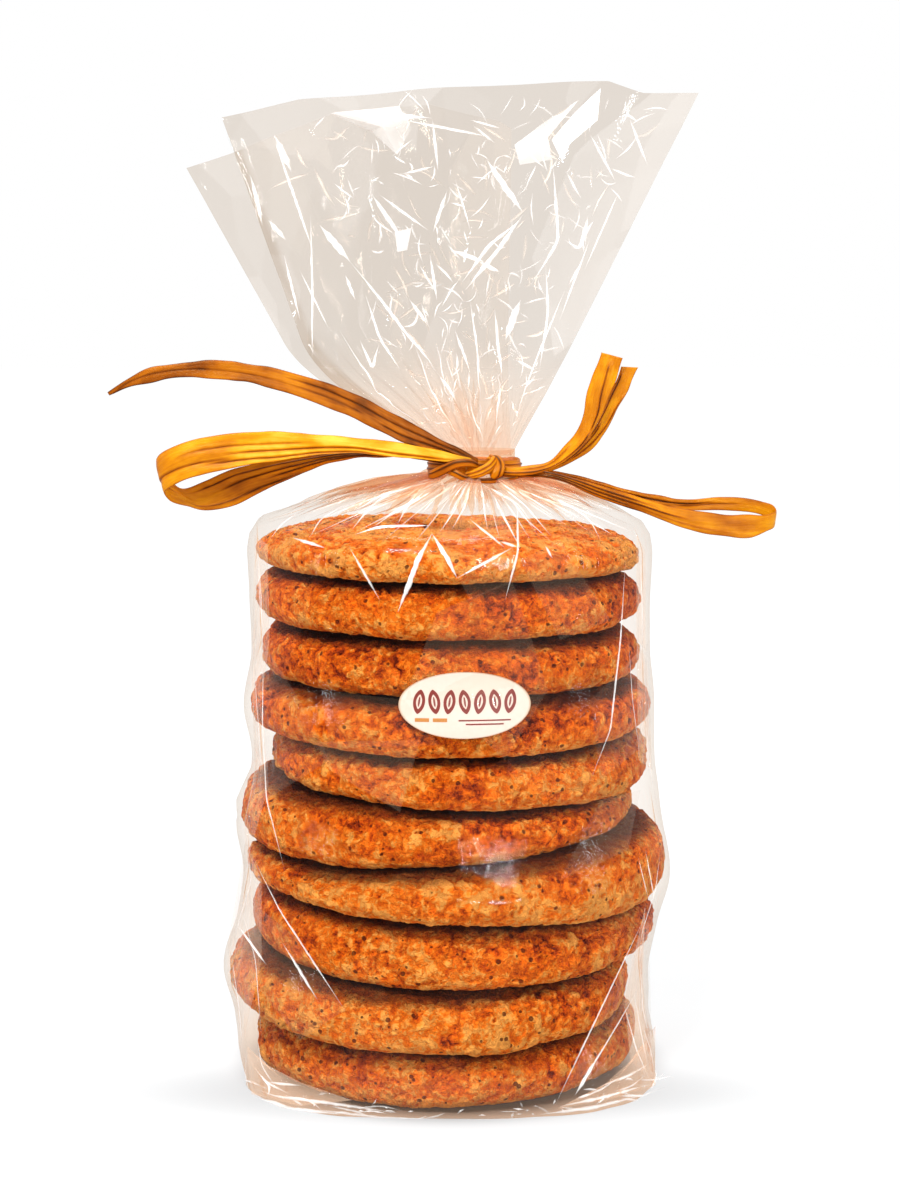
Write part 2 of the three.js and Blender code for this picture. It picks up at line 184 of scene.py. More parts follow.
class Nodes:
    def __init__(self, mat):
        self.t = mat.node_tree

    def add(self, kind, **kw):
        n = self.t.nodes.new(kind)
        for k, v in kw.items():
            if k.startswith("in_"):
                key = k[3:]
                key = int(key) if key.isdigit() else key.replace("_", " ")
                n.inputs[key].default_value = v
            else:
                setattr(n, k, v)
        return n

    def link(self, a, b):
        self.t.links.new(a, b)

    def math(self, op, a, b=None, c=None, clamp=False):
        n = self.t.nodes.new("ShaderNodeMath")
        n.operation = op
        n.use_clamp = clamp
        for k, v in enumerate((a, b, c)):
            if v is None:
                continue
            if isinstance(v, (int, float)):
                n.inputs[k].default_value = v
            else:
                self.t.links.new(v, n.inputs[k])
        return n.outputs[0]

    def mix(self, fac, a, b, kind="MIX"):
        n = self.t.nodes.new("ShaderNodeMix")
        n.data_type = "RGBA"
        n.blend_type = kind
        for key, v in (("Factor", fac), ("A", a), ("B", b)):
            sock = [s for s in n.inputs if s.name == key and s.enabled][0] if key != "Factor" else n.inputs[0]
            if isinstance(v, (int, float)):
                sock.default_value = v
            elif isinstance(v, tuple):
                sock.default_value = v if len(v) == 4 else (*v, 1)
            else:
                self.t.links.new(v, sock)
        return [s for s in n.outputs if s.enabled][0]

    def noise(self, vec, scale, detail=3.0, rough=0.55, dist=0.0):
        n = self.t.nodes.new("ShaderNodeTexNoise")
        n.inputs["Scale"].default_value = scale
        n.inputs["Detail"].default_value = detail
        n.inputs["Roughness"].default_value = rough
        n.inputs["Distortion"].default_value = dist
        self.t.links.new(vec, n.inputs["Vector"])
        return n.outputs["Fac"]

    def voronoi(self, vec, scale, feature="F1", randomness=1.0):
        n = self.t.nodes.new("ShaderNodeTexVoronoi")
        n.feature = feature
        n.inputs["Scale"].default_value = scale
        n.inputs["Randomness"].default_value = randomness
        self.t.links.new(vec, n.inputs["Vector"])
        return n

    def ramp(self, fac, stops, interp="LINEAR"):
        n = self.t.nodes.new("ShaderNodeValToRGB")
        n.color_ramp.interpolation = interp
        while len(n.color_ramp.elements) < len(stops):
            n.color_ramp.elements.new(0.5)
        for e, (p, c) in zip(n.color_ramp.elements, stops):
            e.position = p
            e.color = c if len(c) == 4 else (*c, 1)
        self.t.links.new(fac, n.inputs[0])
        return n.outputs[0]

    def span(self, v, lo, hi, a=0.0, b=1.0):
        n = self.t.nodes.new("ShaderNodeMapRange")
        n.interpolation_type = "SMOOTHSTEP"
        for k, x in zip(("From Min", "From Max", "To Min", "To Max"), (lo, hi, a, b)):
            n.inputs[k].default_value = x
        self.t.links.new(v, n.inputs["Value"])
        return n.outputs[0]

    def attr(self, name):
        n = self.t.nodes.new("ShaderNodeAttribute")
        n.attribute_name = name
        return n.outputs["Fac"]


def lin(r, g, b):
    f = lambda v: (v / 255 / 12.92) if v / 255 <= 0.04045 else ((v / 255 + 0.055) / 1.055) ** 2.4
    return (f(r), f(g), f(b), 1.0)


# ------------------------------------------------------------------ materials
def cookie_material():
    m = material("cookie_crust")
    N = Nodes(m)
    out = N.add("ShaderNodeOutputMaterial")
    P = N.add("ShaderNodeBsdfPrincipled")
    N.link(P.outputs[0], out.inputs[0])
    co = N.add("ShaderNodeTexCoord").outputs["Object"]
    painted_relief_shade, browning_and_shade, edge = N.attr("painted_relief_shade"), N.attr("browning_and_shade"), N.attr("edge")
    patch = N.noise(co, 90, 3, 0.6)
    mid = N.noise(co, 430, 4, 0.62, 0.5)
    fine = N.noise(co, 1500, 3, 0.6)
    off = N.add("ShaderNodeTexNoise")
    off.inputs["Scale"].default_value = 520
    off.inputs["Detail"].default_value = 2
    N.link(co, off.inputs["Vector"])
    wv = N.add("ShaderNodeVectorMath", operation="SCALE")
    N.link(off.outputs["Color"], wv.inputs[0])
    wv.inputs["Scale"].default_value = 0.0034
    wa = N.add("ShaderNodeVectorMath", operation="ADD")
    N.link(co, wa.inputs[0])
    N.link(wv.outputs[0], wa.inputs[1])
    co2 = wa.outputs[0]
    vor = N.voronoi(co2, 560)
    cells = N.add("ShaderNodeSeparateColor")
    N.link(vor.outputs["Color"], cells.inputs[0])
    chip = cells.outputs[0]
    seam = N.voronoi(co2, 560, "DISTANCE_TO_EDGE").outputs["Distance"]
    seam = N.span(seam, 0.0, 0.16, 1.0, 0.0)
    rid = N.math("ABSOLUTE", N.math("MULTIPLY_ADD", N.noise(co2, 300, 5, 0.6), 2.0, -1.0))
    rid = N.span(rid, 0.0, 0.16, 1.0, 0.0)
    # tone of the crust: from deep brown creases to pale almond meal; the paler lumps and the darker hollows, seams and
    # grooves are partly painted shade and light from the relief
    t = N.math("MULTIPLY_ADD", mid, 1.75, -0.80)
    t = N.math("MULTIPLY_ADD", chip, 0.14, t)
    t = N.math("MULTIPLY_ADD", fine, 0.42, t)
    t = N.math("MULTIPLY_ADD", painted_relief_shade, 0.66, t)
    t = N.math("MULTIPLY_ADD", patch, 0.46, t)
    t = N.math("MULTIPLY_ADD", seam, -0.05, t)
    t = N.math("MULTIPLY_ADD", rid, -0.16, t)
    t = N.math("MULTIPLY_ADD", edge, 0.05, t)
    t = N.math("MULTIPLY_ADD", browning_and_shade, -0.34, t)
    col = N.ramp(t, [
        (0.04, lin(112, 28, 0)), (0.24, lin(186, 64, 0)), (0.42, lin(226, 92, 0)),
        (0.60, lin(246, 113, 6)), (0.78, lin(255, 134, 30)), (0.98, lin(255, 169, 76)),
    ])
    # pores and pinholes, coloured darker: painted shade in the holes
    pv = N.voronoi(co, 500)
    ps = N.add("ShaderNodeSeparateColor")
    N.link(pv.outputs["Color"], ps.inputs[0])
    pr = N.span(ps.outputs[1], 0.35, 1.0, 0.0, 0.30)
    pore = N.math("SUBTRACT", pr, pv.outputs["Distance"])
    pore = N.span(pore, 0.0, 0.07)
    col = N.mix(N.math("MULTIPLY", pore, 0.85), col, lin(92, 26, 0))
    # scorched freckles
    fr = N.span(N.noise(co, 230, 2, 0.5), 0.60, 0.72)
    col = N.mix(N.math("MULTIPLY", fr, 0.40), col, lin(170, 58, 0))
    # painted shade: darker on the face beneath the next biscuit and on the flat bottom inside the rim
    col = N.mix(N.attr("painted_shade_under"), col, lin(92, 34, 4))
    N.link(col, P.inputs["Base Color"])
    rough = N.span(mid, 0.3, 0.7, 0.72, 0.50)
    N.link(rough, P.inputs["Roughness"])
    P.inputs["Specular IOR Level"].default_value = 0.10
    h = N.math("MULTIPLY_ADD", fine, 0.75, N.math("MULTIPLY", mid, 1.6))
    h = N.math("MULTIPLY_ADD", chip, 0.22, h)
    h = N.math("MULTIPLY_ADD", seam, -0.18, h)
    h = N.math("MULTIPLY_ADD", rid, -0.45, h)
    h = N.math("MULTIPLY_ADD", pore, -1.2, h)
    bump = N.add("ShaderNodeBump", in_Strength=1.0, in_Distance=0.00100)
    N.link(h, bump.inputs["Height"])
    N.link(bump.outputs[0], P.inputs["Normal"])
    return m


def film_material(name, tint, gloss, cell, painted_reflection_haze, painted_glow=0.0):
    """Clear crinkled film: cell is the size of the hazy cells in mm, and the argument after it how hazy they get;
    these hazy cells are partly milky film, partly painted reflection of the lamps.
    """
    m = material(name)
    N = Nodes(m)
    out = N.add("ShaderNodeOutputMaterial")
    haze_and_highlight = N.attr("haze_and_highlight")
    co = N.add("ShaderNodeTexCoord").outputs["Object"]
    lw = N.add("ShaderNodeLayerWeight", in_Blend=0.5)
    facing = lw.outputs["Facing"]
    st = N.add("ShaderNodeCombineXYZ")
    N.link(N.attr("fs"), st.inputs[0])
    N.link(N.math("MULTIPLY", N.attr("ft"), 0.6), st.inputs[1])
    vo = N.voronoi(st.outputs[0], 1.0 / cell)
    vs = N.add("ShaderNodeSeparateColor")
    N.link(vo.outputs["Color"], vs.inputs[0])
    vo2 = N.voronoi(st.outputs[0], 2.3 / cell)
    vs2 = N.add("ShaderNodeSeparateColor")
    N.link(vo2.outputs["Color"], vs2.inputs[0])
    w1 = N.span(vs.outputs[0], 0.45, 0.95, 0.0, painted_reflection_haze)
    w2 = N.span(vs2.outputs[1], 0.6, 1.0, 0.0, painted_reflection_haze * 0.6)
    # whitening of the film: milky film, painted reflection of the lamps in the hazy cells, and painted highlights on
    # the white folds
    milk_and_highlight_fac = N.math("ADD", haze_and_highlight, N.math("ADD", w1, w2), clamp=True)
    # thin creases of the film, finer than the modelled folds
    sc = N.add("ShaderNodeMapping")
    sc.inputs["Scale"].default_value = (1.0, 1.0, 0.45)
    N.link(co, sc.inputs[0])
    wr = N.noise(sc.outputs[0], 150, 4, 0.62, 1.6)
    wr2 = N.noise(sc.outputs[0], 60, 2, 0.5, 0.8)
    h = N.math("MULTIPLY_ADD", wr2, 1.6, wr)
    bump = N.add("ShaderNodeBump", in_Strength=0.3, in_Distance=0.0009)
    N.link(h, bump.inputs["Height"])
    clear = N.add("ShaderNodeBsdfTransparent")
    deep = tuple(c ** 2.8 for c in tint)
    graze = N.math("POWER", facing, 3.0)
    through = N.mix(graze, (*tint, 1), (*deep, 1))
    # the film takes on the biscuits' colour: painted reflection over the shoulder and towards the tie, painted shade
    # at the base
    through = N.mix(N.math("MULTIPLY", N.attr("painted_reflection_tint"), 0.95), through, (0.93, 0.765, 0.63, 1))
    N.link(N.mix(N.attr("bare"), through, (0.985, 0.975, 0.965, 1)), clear.inputs[0])
    white = N.add("ShaderNodeBsdfDiffuse", in_Roughness=0.3)
    N.link(N.mix(N.attr("painted_reflection_tint"), (0.97, 0.95, 0.93, 1), (0.93, 0.64, 0.44, 1)), white.inputs[0])
    bright = white.outputs[0]
    if painted_glow:
        # painted glow: the whitest folds give off light of their own, standing in for highlights of the studio lamps
        em = N.add("ShaderNodeEmission", in_Color=(1, 1, 1, 1))
        N.link(N.span(haze_and_highlight, 0.25, 0.9, 0.0, painted_glow), em.inputs["Strength"])
        ad = N.add("ShaderNodeAddShader")
        N.link(white.outputs[0], ad.inputs[0])
        N.link(em.outputs[0], ad.inputs[1])
        bright = ad.outputs[0]
    milk_and_highlight = N.add("ShaderNodeMixShader")
    N.link(milk_and_highlight_fac, milk_and_highlight.inputs[0])
    N.link(clear.outputs[0], milk_and_highlight.inputs[1])
    N.link(bright, milk_and_highlight.inputs[2])
    gl = N.add("ShaderNodeBsdfGlossy", in_Color=(1, 1, 1, 1), in_Roughness=0.045)
    N.link(bump.outputs[0], gl.inputs["Normal"])
    f5 = N.math("POWER", facing, 5.0)
    fac = N.math("MULTIPLY_ADD", f5, 0.34 * gloss, 0.009 * gloss, clamp=True)
    mix = N.add("ShaderNodeMixShader")
    N.link(fac, mix.inputs[0])
    N.link(milk_and_highlight.outputs[0], mix.inputs[1])
    N.link(gl.outputs[0], mix.inputs[2])
    # light on its way to the biscuits is hardly held back by the film
    lit = N.add("ShaderNodeBsdfTransparent", in_Color=(0.985, 0.978, 0.97, 1))
    last = N.add("ShaderNodeMixShader")
    N.link(N.add("ShaderNodeLightPath").outputs["Is Shadow Ray"], last.inputs[0])
    N.link(mix.outputs[0], last.inputs[1])
    N.link(lit.outputs[0], last.inputs[2])
    N.link(last.outputs[0], out.inputs[0])
    return m


def raffia_material():
    m = material("raffia")
    N = Nodes(m)
    out = N.add("ShaderNodeOutputMaterial")
    P = N.add("ShaderNodeBsdfPrincipled")
    N.link(P.outputs[0], out.inputs[0])
    u, v, crease_shade, seed, lum = N.attr("across"), N.attr("along"), N.attr("crease"), N.attr("tone"), N.attr("lum")

    def coord(a, b):
        xyz = N.add("ShaderNodeCombineXYZ")
        N.link(N.math("MULTIPLY", u, a), xyz.inputs[0])
        N.link(N.math("MULTIPLY", v, b), xyz.inputs[1])
        N.link(seed, xyz.inputs[2])
        return xyz.outputs[0]
    fib = N.noise(coord(1.0, 0.03), 2.4, 5, 0.65)
    fib2 = N.noise(coord(1.0, 0.05), 9.0, 3, 0.6)
    blot = N.noise(coord(0.22, 0.10), 1.0, 3, 0.55)
    t = N.math("MULTIPLY_ADD", fib, 0.34, -0.10)
    t = N.math("MULTIPLY_ADD", fib2, 0.12, t)
    t = N.math("MULTIPLY_ADD", blot, 1.05, N.math("ADD", t, -0.12))
    # painted shade: darker in the folds and along the strand's edges
    t = N.math("MULTIPLY_ADD", crease_shade, -0.62, t)
    # brightness set per strand and along it: partly painted light, lighter where a strand faces the lamps and darker
    # where it turns away, partly the straw's own tone
    t = N.math("ADD", t, lum)
    col = N.ramp(t, [
        (0.00, lin(78, 30, 0)), (0.16, lin(128, 58, 0)), (0.36, lin(172, 90, 0)),
        (0.56, lin(200, 118, 0)), (0.76, lin(226, 154, 6)), (1.0, lin(246, 196, 66)),
    ])
    N.link(col, P.inputs["Base Color"])
    P.inputs["Roughness"].default_value = 0.33
    P.inputs["Specular IOR Level"].default_value = 0.35
    P.inputs["Specular Tint"].default_value = (1.0, 0.80, 0.42, 1)
    bump = N.add("ShaderNodeBump", in_Strength=0.6, in_Distance=0.00016)
    N.link(N.math("MULTIPLY_ADD", fib2, 0.5, fib), bump.inputs["Height"])
    N.link(bump.outputs[0], P.inputs["Normal"])
    return m


def label_materials():
    m = material("label_paper")
    N = Nodes(m)
    out = N.add("ShaderNodeOutputMaterial")
    P = N.add("ShaderNodeBsdfPrincipled")
    N.link(P.outputs[0], out.inputs[0])
    co = N.add("ShaderNodeTexCoord").outputs["Object"]
    n = N.noise(co, 900, 3, 0.6)
    rim = N.attr("rim")
    col = N.mix(N.span(n, 0.3, 0.7, 0.0, 0.35), lin(224, 203, 188), lin(216, 193, 174))
    # painted shade: the label darker towards its very edge
    col = N.mix(rim, col, lin(192, 160, 130))
    N.link(col, P.inputs["Base Color"])
    P.inputs["Roughness"].default_value = 0.5
    bump = N.add("ShaderNodeBump", in_Strength=0.3, in_Distance=0.00005)
    N.link(n, bump.inputs["Height"])
    N.link(bump.outputs[0], P.inputs["Normal"])
    inks = []
    for name, c in (("ink_brown", (122, 34, 22)), ("ink_ochre", (186, 120, 52))):
        k = material(name)
        K = Nodes(k)
        o = K.add("ShaderNodeOutputMaterial")
        q = K.add("ShaderNodeBsdfPrincipled")
        K.link(q.outputs[0], o.inputs[0])
        c0 = lin(*c)
        kn = K.noise(K.add("ShaderNodeTexCoord").outputs["Object"], 2500, 2, 0.5)
        K.link(K.mix(K.span(kn, 0.3, 0.7, 0, 0.4), c0, tuple(min(1, v * 1.3 + 0.01) for v in c0[:3]) + (1,)), q.inputs["Base Color"])
        q.inputs["Roughness"].default_value = 0.45
        inks.append(k)
    return m, inks


def floor_material():
    m = material("floor")
    N = Nodes(m)
    out = N.add("ShaderNodeOutputMaterial")
    P = N.add("ShaderNodeBsdfPrincipled")
    N.link(P.outputs[0], out.inputs[0])
    P.inputs["Roughness"].default_value = 0.6
    P.inputs["Specular IOR Level"].default_value = 0.0
    P.inputs["Emission Color"].default_value = (1, 1, 1, 1)
    P.inputs["Base Color"].default_value = (0.19, 0.20, 0.205, 1)
    co = N.add("ShaderNodeTexCoord").outputs["Object"]
    far = N.add("ShaderNodeVectorMath", operation="LENGTH")
    N.link(co, far.inputs[0])
    # painted shadow: the floor's glow drops close to the middle, beneath the bag
    near = N.span(far.outputs["Value"], 0.034, 0.052, 0.05, 0.80)
    near = N.math("ADD", near, N.span(far.outputs["Value"], 0.10, 0.50, 0.0, 0.13))
    # soft contact shadow beside the base
    oval = N.add("ShaderNodeMapping")
    oval.inputs["Location"].default_value = (0, 0.026 / 0.030, 0)
    oval.inputs["Scale"].default_value = (1 / 0.095, 1 / 0.030, 0)
    N.link(co, oval.inputs[0])
    d = N.add("ShaderNodeVectorMath", operation="LENGTH")
    N.link(oval.outputs[0], d.inputs[0])
    near = N.math("SUBTRACT", near, N.span(d.outputs["Value"], 0.3, 1.0, 0.25, 0.0))
    N.link(N.math("MAXIMUM", near, 0.04), P.inputs["Emission Strength"])
    return m


MAT_COOKIE = cookie_material()
MAT_RAFFIA = raffia_material()
MAT_LABEL, MAT_INK = label_materials()
MAT_FLOOR = floor_material()

# ------------------------------------------------------------------ cookies
# Bottom to top, in mm: centre x, y, height of the base plane at the axis, radius, slope of the base plane towards
# the back and towards the right in degrees.
COOKIES = [
    (-0.9, 1.2, 1.2, 44.4, 0.6, 0.6),
    (-4.5, -1.8, 16.2, 46.6, 3.4, -1.1),
    (0.8, -0.6, 29.9, 45.7, 3.2, -0.5),
    (1.6, -2.3, 42.6, 47.4, 0.2, -2.6),
    (-2.9, 0.0, 56.0, 44.9, 2.6, 3.6),
    (2.1, -0.9, 67.8, 43.2, 2.0, -1.9),
    (0.1, -0.9, 79.8, 45.4, 2.4, -0.3),
    (0.4, -0.5, 90.8, 43.0, 0.4, -0.2),
    (-0.3, 0.4, 103.2, 43.5, 0.4, -0.6),
    (-0.5, 0.5, 115.0, 43.7, -0.4, -0.7),
]
TONE = (-0.25, -0.32, 0.0, -0.35, 0.0, 0.0, 0.25, 0.2, 0.25, 0.0)      # how much darker each one is coloured
TOP_H = 7.6
HOLE_R = 10.0
BAKE_R = 0.55      # how far the crust's lumps stand out; the plain form is drawn in by this much


def plane(k):
    if k < len(COOKIES):
        x, y, z, r, a, b = COOKIES[k]
        ta, tb = math.tan(math.radians(a)), math.tan(math.radians(b))
        return lambda X, Y: z + ta * (Y - y) + tb * (X - x)
    x, y, z, r, a, b = COOKIES[-1]
    ta, tb = math.tan(math.radians(a)), math.tan(math.radians(b))
    return lambda X, Y: z + TOP_H + ta * (Y - y) + tb * (X - x)


def cookie(k):
    cx, cy, z0, R, a, b = COOKIES[k]
    last = k == len(COOKIES) - 1
    R = R - BAKE_R
    NT = 500
    eb, et, fw, pl, pu = 5.0, (12.0 if not last else 15.0), 0.44, 2.2, (2.7 if not last else 2.2)
    prof = []       # r, f, inner weight, edge weight
    for r in np.linspace(HOLE_R + 1.8, R - eb, 4)[:-1]:
        prof.append((r, 0.0, 0.25))
    for t in np.linspace(0, 1, 17)[:-1]:
        an = t * math.pi / 2
        prof.append((R - eb + eb * math.sin(an) ** (2 / pl), fw * (1 - math.cos(an) ** (2 / pl)), 0.4 + 0.6 * t))
    for t in np.linspace(0, 1, 35)[:-1]:
        an = t * math.pi / 2
        prof.append((R - et + et * max(0, math.cos(an)) ** (2 / pu), fw + (1 - fw) * math.sin(an) ** (2 / pu), 1.0))
    n_top = 42 if last else 6
    for t in np.linspace(0, 1, n_top)[:-1]:
        prof.append((R - et + (HOLE_R + 2.2 - (R - et)) * t, 1.0, 1.0 if last else 0.6))
    for r, f in ((HOLE_R + 2.2, 1.0), (HOLE_R + 0.5, 0.86), (HOLE_R, 0.5), (HOLE_R + 0.4, 0.14)):
        prof.append((r, f, 0.5))
    pr = np.array(prof)
    K = len(pr)
    th = np.linspace(0, 2 * math.pi, NT, endpoint=False) + k * 0.7
    seed = 100 + 13 * k
    # outline: slightly out of round
    ring = np.stack([np.cos(th) * 1.1, np.sin(th) * 1.1, np.full(NT, k * 3.7)], -1)
    ring2 = np.stack([np.cos(th) * 3.4, np.sin(th) * 3.4, np.full(NT, k * 5.1)], -1)
    wob = 0.5 * vnoise(ring, seed) + 0.45 * vnoise(ring2, seed + 1)
    r = pr[:, 0][:, None] + wob[None, :] * (pr[:, 0][:, None] / R) ** 2
    X = cx + r * np.cos(th)[None, :]
    Y = cy + r * np.sin(th)[None, :]
    lo, hi = plane(k)(X, Y), plane(k + 1)(X, Y)
    gap = 1.1 if not last else 0.0
    hi = hi - gap
    hi = np.maximum(hi, lo + 4.0)
    f = pr[:, 1][:, None]
    if last:
        dome = 1.6 * (1 - (r / R) ** 2) * smooth((f - 0.3) / 0.7)
        Z = lo + (hi - lo) * f + dome
    else:
        Z = lo + (hi - lo) * f
    P = np.stack([X, Y, Z], -1)
    # normals of the plain form
    dth = np.roll(P, -1, 1) - np.roll(P, 1, 1)
    dpr = np.roll(P, -1, 0) - np.roll(P, 1, 0)
    n = np.cross(dth, dpr)
    n /= np.linalg.norm(n, axis=-1, keepdims=True) + 1e-9
    Q = P.reshape(-1, 3) + np.array([0, 0, 31.0 * k])
    w = np.repeat(pr[:, 2], NT)
    low = 0.55 * vnoise(Q / 11.0, seed + 2) + 0.35 * vnoise(Q / 5.2, seed + 3)
    rugged = 0.55 + 0.45 * vnoise(Q / 9.0, seed + 4)
    warp = Q + 0.8 * np.stack([vnoise(Q / 2.2, seed + 20), vnoise(Q / 2.2, seed + 21), vnoise(Q / 2.2, seed + 22)], -1)
    f1, f2, c1 = worley(warp / 3.4, seed + 5)
    chunks = (0.55 - f1) * 0.85 + 0.75 * (c1 - 0.5)
    g1, g2, d1 = worley(warp / 1.55, seed + 6)
    bits = (0.5 - g1) * 0.62 + 0.50 * (d1 - 0.5)
    h1, h2, e1 = worley(Q / 2.7, seed + 7)
    pore = smooth((np.where(e1 > 0.5, 0.10 + 0.16 * (e1 - 0.5) * 2, -1.0) - h1) / 0.12)
    grain = 0.22 * vnoise(Q / 0.9, seed + 8)
    crack = smooth((0.09 - (f2 - f1)) / 0.09) * smooth((vnoise(Q / 7.0, seed + 9) - 0.15) / 0.3)
    d = low + rugged * (0.85 * chunks + 1.35 * bits) + grain - 0.8 * pore - 0.6 * crack
    d = np.clip(d, -1.8, 0.85)
    disp = d * w
    V = P.reshape(-1, 3) + n.reshape(-1, 3) * disp[:, None]
    if k == 0:
        V[:, 2] = np.maximum(V[:, 2], 0.45)
    # paler on the lumps, darker in pores and cracks: painted light and shade from the relief
    painted_relief_shade = np.clip(0.5 + 0.55 * (0.75 * chunks + bits) * rugged / 0.6 - 0.8 * pore - 0.6 * crack, 0, 1)
    up = np.repeat(pr[:, 1], NT)
    side = smooth((0.42 - up) / 0.34)
    browning_and_shade = np.clip(0.5 + 0.65 * vnoise(Q / 8.5, seed + 10) + 0.35 * vnoise(Q / 3.8, seed + 12) + 0.35 * (up - 0.5), 0, 1)
    browning_and_shade = browning_and_shade + TONE[k]
    # the top biscuit is coloured paler: painted light for the light that falls on its top face
    if last:
        browning_and_shade = 1.4 * browning_and_shade - 1.05
    rfrac = np.repeat(pr[:, 0], NT) / R
    # painted shade on the upper face beneath the next biscuit and on the flat bottom inside the rim
    painted_shade_under = np.zeros_like(up) if last else smooth((up - 0.80) / 0.18)
    painted_shade_under = np.maximum(painted_shade_under, smooth((0.93 - rfrac) / 0.06) * (up < 0.3)) * 0.9
    quads = grid_quads(K, NT, True, True)
    ob = new_mesh("cookie_%02d" % (k + 1), V, quads, [MAT_COOKIE], True, {"painted_relief_shade": painted_relief_shade, "browning_and_shade": browning_and_shade * (1 - 0.4 * side), "edge": side, "painted_shade_under": painted_shade_under}, closed=True)
    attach(ob, "root")
    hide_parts("bag")
    return ob


for k in range(len(COOKIES)):
    cookie(k)

# ------------------------------------------------------------------ tables of the CAD part, in mm
FILM = [
  [0, 47.2, 47.2, 45.2, 45.6],
  [6.5, 48.4, 46.4, 45.6, 46.2],
  [14, 49.6, 45.2, 46.6, 46.0],
  [23, 52.0, 45.2, 48.8, 45.8],
  [34, 48.8, 47.2, 47.6, 46.2],
  [46, 47.0, 50.0, 49.6, 46.2],
  [56, 48.4, 48.4, 47.2, 45.8],
  [64, 45.2, 47.0, 45.6, 44.6],
  [73, 44.2, 46.2, 45.2, 44.0],
  [84, 46.0, 46.2, 46.8, 45.4],
  [96, 44.4, 45.2, 45.0, 44.4],
  [108, 44.9, 45.0, 45.0, 44.8],
  [118, 45.5, 45.3, 45.0, 45.2],
  [122, 44.9, 44.7, 44.4, 44.6],
]
LEFT_TAIL = [
  [6.2, -9, 139.6, 6.2, -9, 138.1],
  [-2.2, -10.4, 144.1, -2.2, -10.8, 140.9],
  [-11, -11.2, 148.8, -11, -12, 143.6],
  [-22, -11.8, 154.5, -21.5, -12.8, 148.7],
  [-32.9, -12.2, 158.1, -32.5, -13.2, 153.1],
  [-41.7, -12.4, 160.3, -42.1, -13.2, 155.9],
  [-50.5, -12.4, 161.2, -50, -13, 157.3],
  [-58.8, -12.2, 160.8, -58.8, -12.8, 157.6],
  [-65.9, -12, 159.6, -65.9, -12.4, 156.5],
  [-70.8, -11.8, 157.2, -70.6, -12, 155.5],
  [-75.3, -11.6, 154.2, -75, -11.6, 153.7],
]
LEFT_LOOP = [
  [5.8, -9, 139.4, 5.8, -9, 137.8],
  [-2.2, -11, 141.5, -2.2, -11.4, 139.1],
  [-11, -12.2, 143.2, -11, -12.8, 140.1],
  [-22, -13, 144.6, -22, -13.8, 141.1],
  [-33, -13.2, 145.4, -33, -14, 140.2],
  [-42.9, -13.2, 145.7, -42.9, -14, 138.7],
  [-50.6, -13.2, 145.1, -50.6, -14, 137.1],
  [-57.2, -13, 143.7, -57.2, -13.8, 135.6],
  [-61.9, -12.6, 141.9, -61.3, -12.8, 133.7],
  [-64.5, -11.6, 140, -63.3, -11.2, 132.2],
  [-64.9, -9.6, 138.1, -62, -9.2, 130.1],
  [-63.0, -7.6, 135.2, -58.4, -8, 128.9],
  [-59.6, -7, 132.6, -54.4, -7.8, 127.9],
  [-54.6, -7, 134.2, -48.2, -7.8, 129.0],
  [-47.6, -7.4, 137.2, -41.6, -8, 132.2],
  [-36.5, -8, 139.6, -32.2, -8.4, 136.4],
  [-24.4, -8.2, 140.9, -23.3, -8.6, 139.1],
  [-11.1, -8.4, 141.4, -11.1, -8.6, 139.6],
  [4.4, -8.2, 138.9, 4.4, -8.2, 137.6],
]
RIGHT_LOOP = [
  [8.9, -9, 137.8, 8.9, -9, 135.6],
  [15.5, -11, 137.6, 15.5, -11.2, 135.6],
  [23.2, -12.4, 136.8, 23.2, -12.6, 135],
  [33, -13.6, 134, 32.6, -14, 131.2],
  [41.8, -14.2, 131.4, 41.4, -14.6, 128.3],
  [50.6, -14.6, 129, 49.8, -15, 125.1],
  [59.5, -14.6, 127.7, 58.6, -15, 123],
  [66.6, -14, 127.4, 66.2, -14.4, 122.5],
  [70.7, -12.6, 127.7, 70.3, -12.8, 123.7],
  [72.2, -10.8, 128, 71.8, -11, 124.7],
  [71.1, -9, 129.4, 71.2, -9, 126],
  [66.8, -8, 130.6, 66.8, -8, 127.3],
  [60.1, -7.6, 131, 60.2, -7.6, 127.7],
  [52.3, -7.8, 130.5, 52.3, -7.8, 127.7],
  [44.5, -8.2, 131.5, 44.1, -8.2, 128.9],
  [33.3, -8.8, 134.3, 32.9, -8.8, 131.8],
  [23.3, -9.2, 136.7, 22.9, -9.2, 135],
  [15.5, -9.2, 137.4, 15.5, -9.2, 135.6],
  [8.9, -8.6, 137.6, 8.9, -8.6, 135.8],
]
RIGHT_TAIL_A = [
  [8.9, -9.4, 137.9, 8.9, -9.4, 136.1],
  [15.5, -11.6, 137.8, 15.5, -12, 136.1],
  [21.6, -12.8, 139.2, 22, -13.2, 137.3],
  [25.3, -13.2, 142.8, 27.1, -13.6, 140.6],
  [27.9, -13.2, 146.1, 30.3, -13.6, 143.9],
  [29.4, -13, 150.5, 32.9, -13.4, 148.3],
  [30.3, -12.8, 154.8, 34.5, -13.2, 152.7],
  [31.6, -12.6, 159, 36.6, -13, 157.3],
  [33.1, -12.4, 163.1, 38, -12.8, 161.8],
]
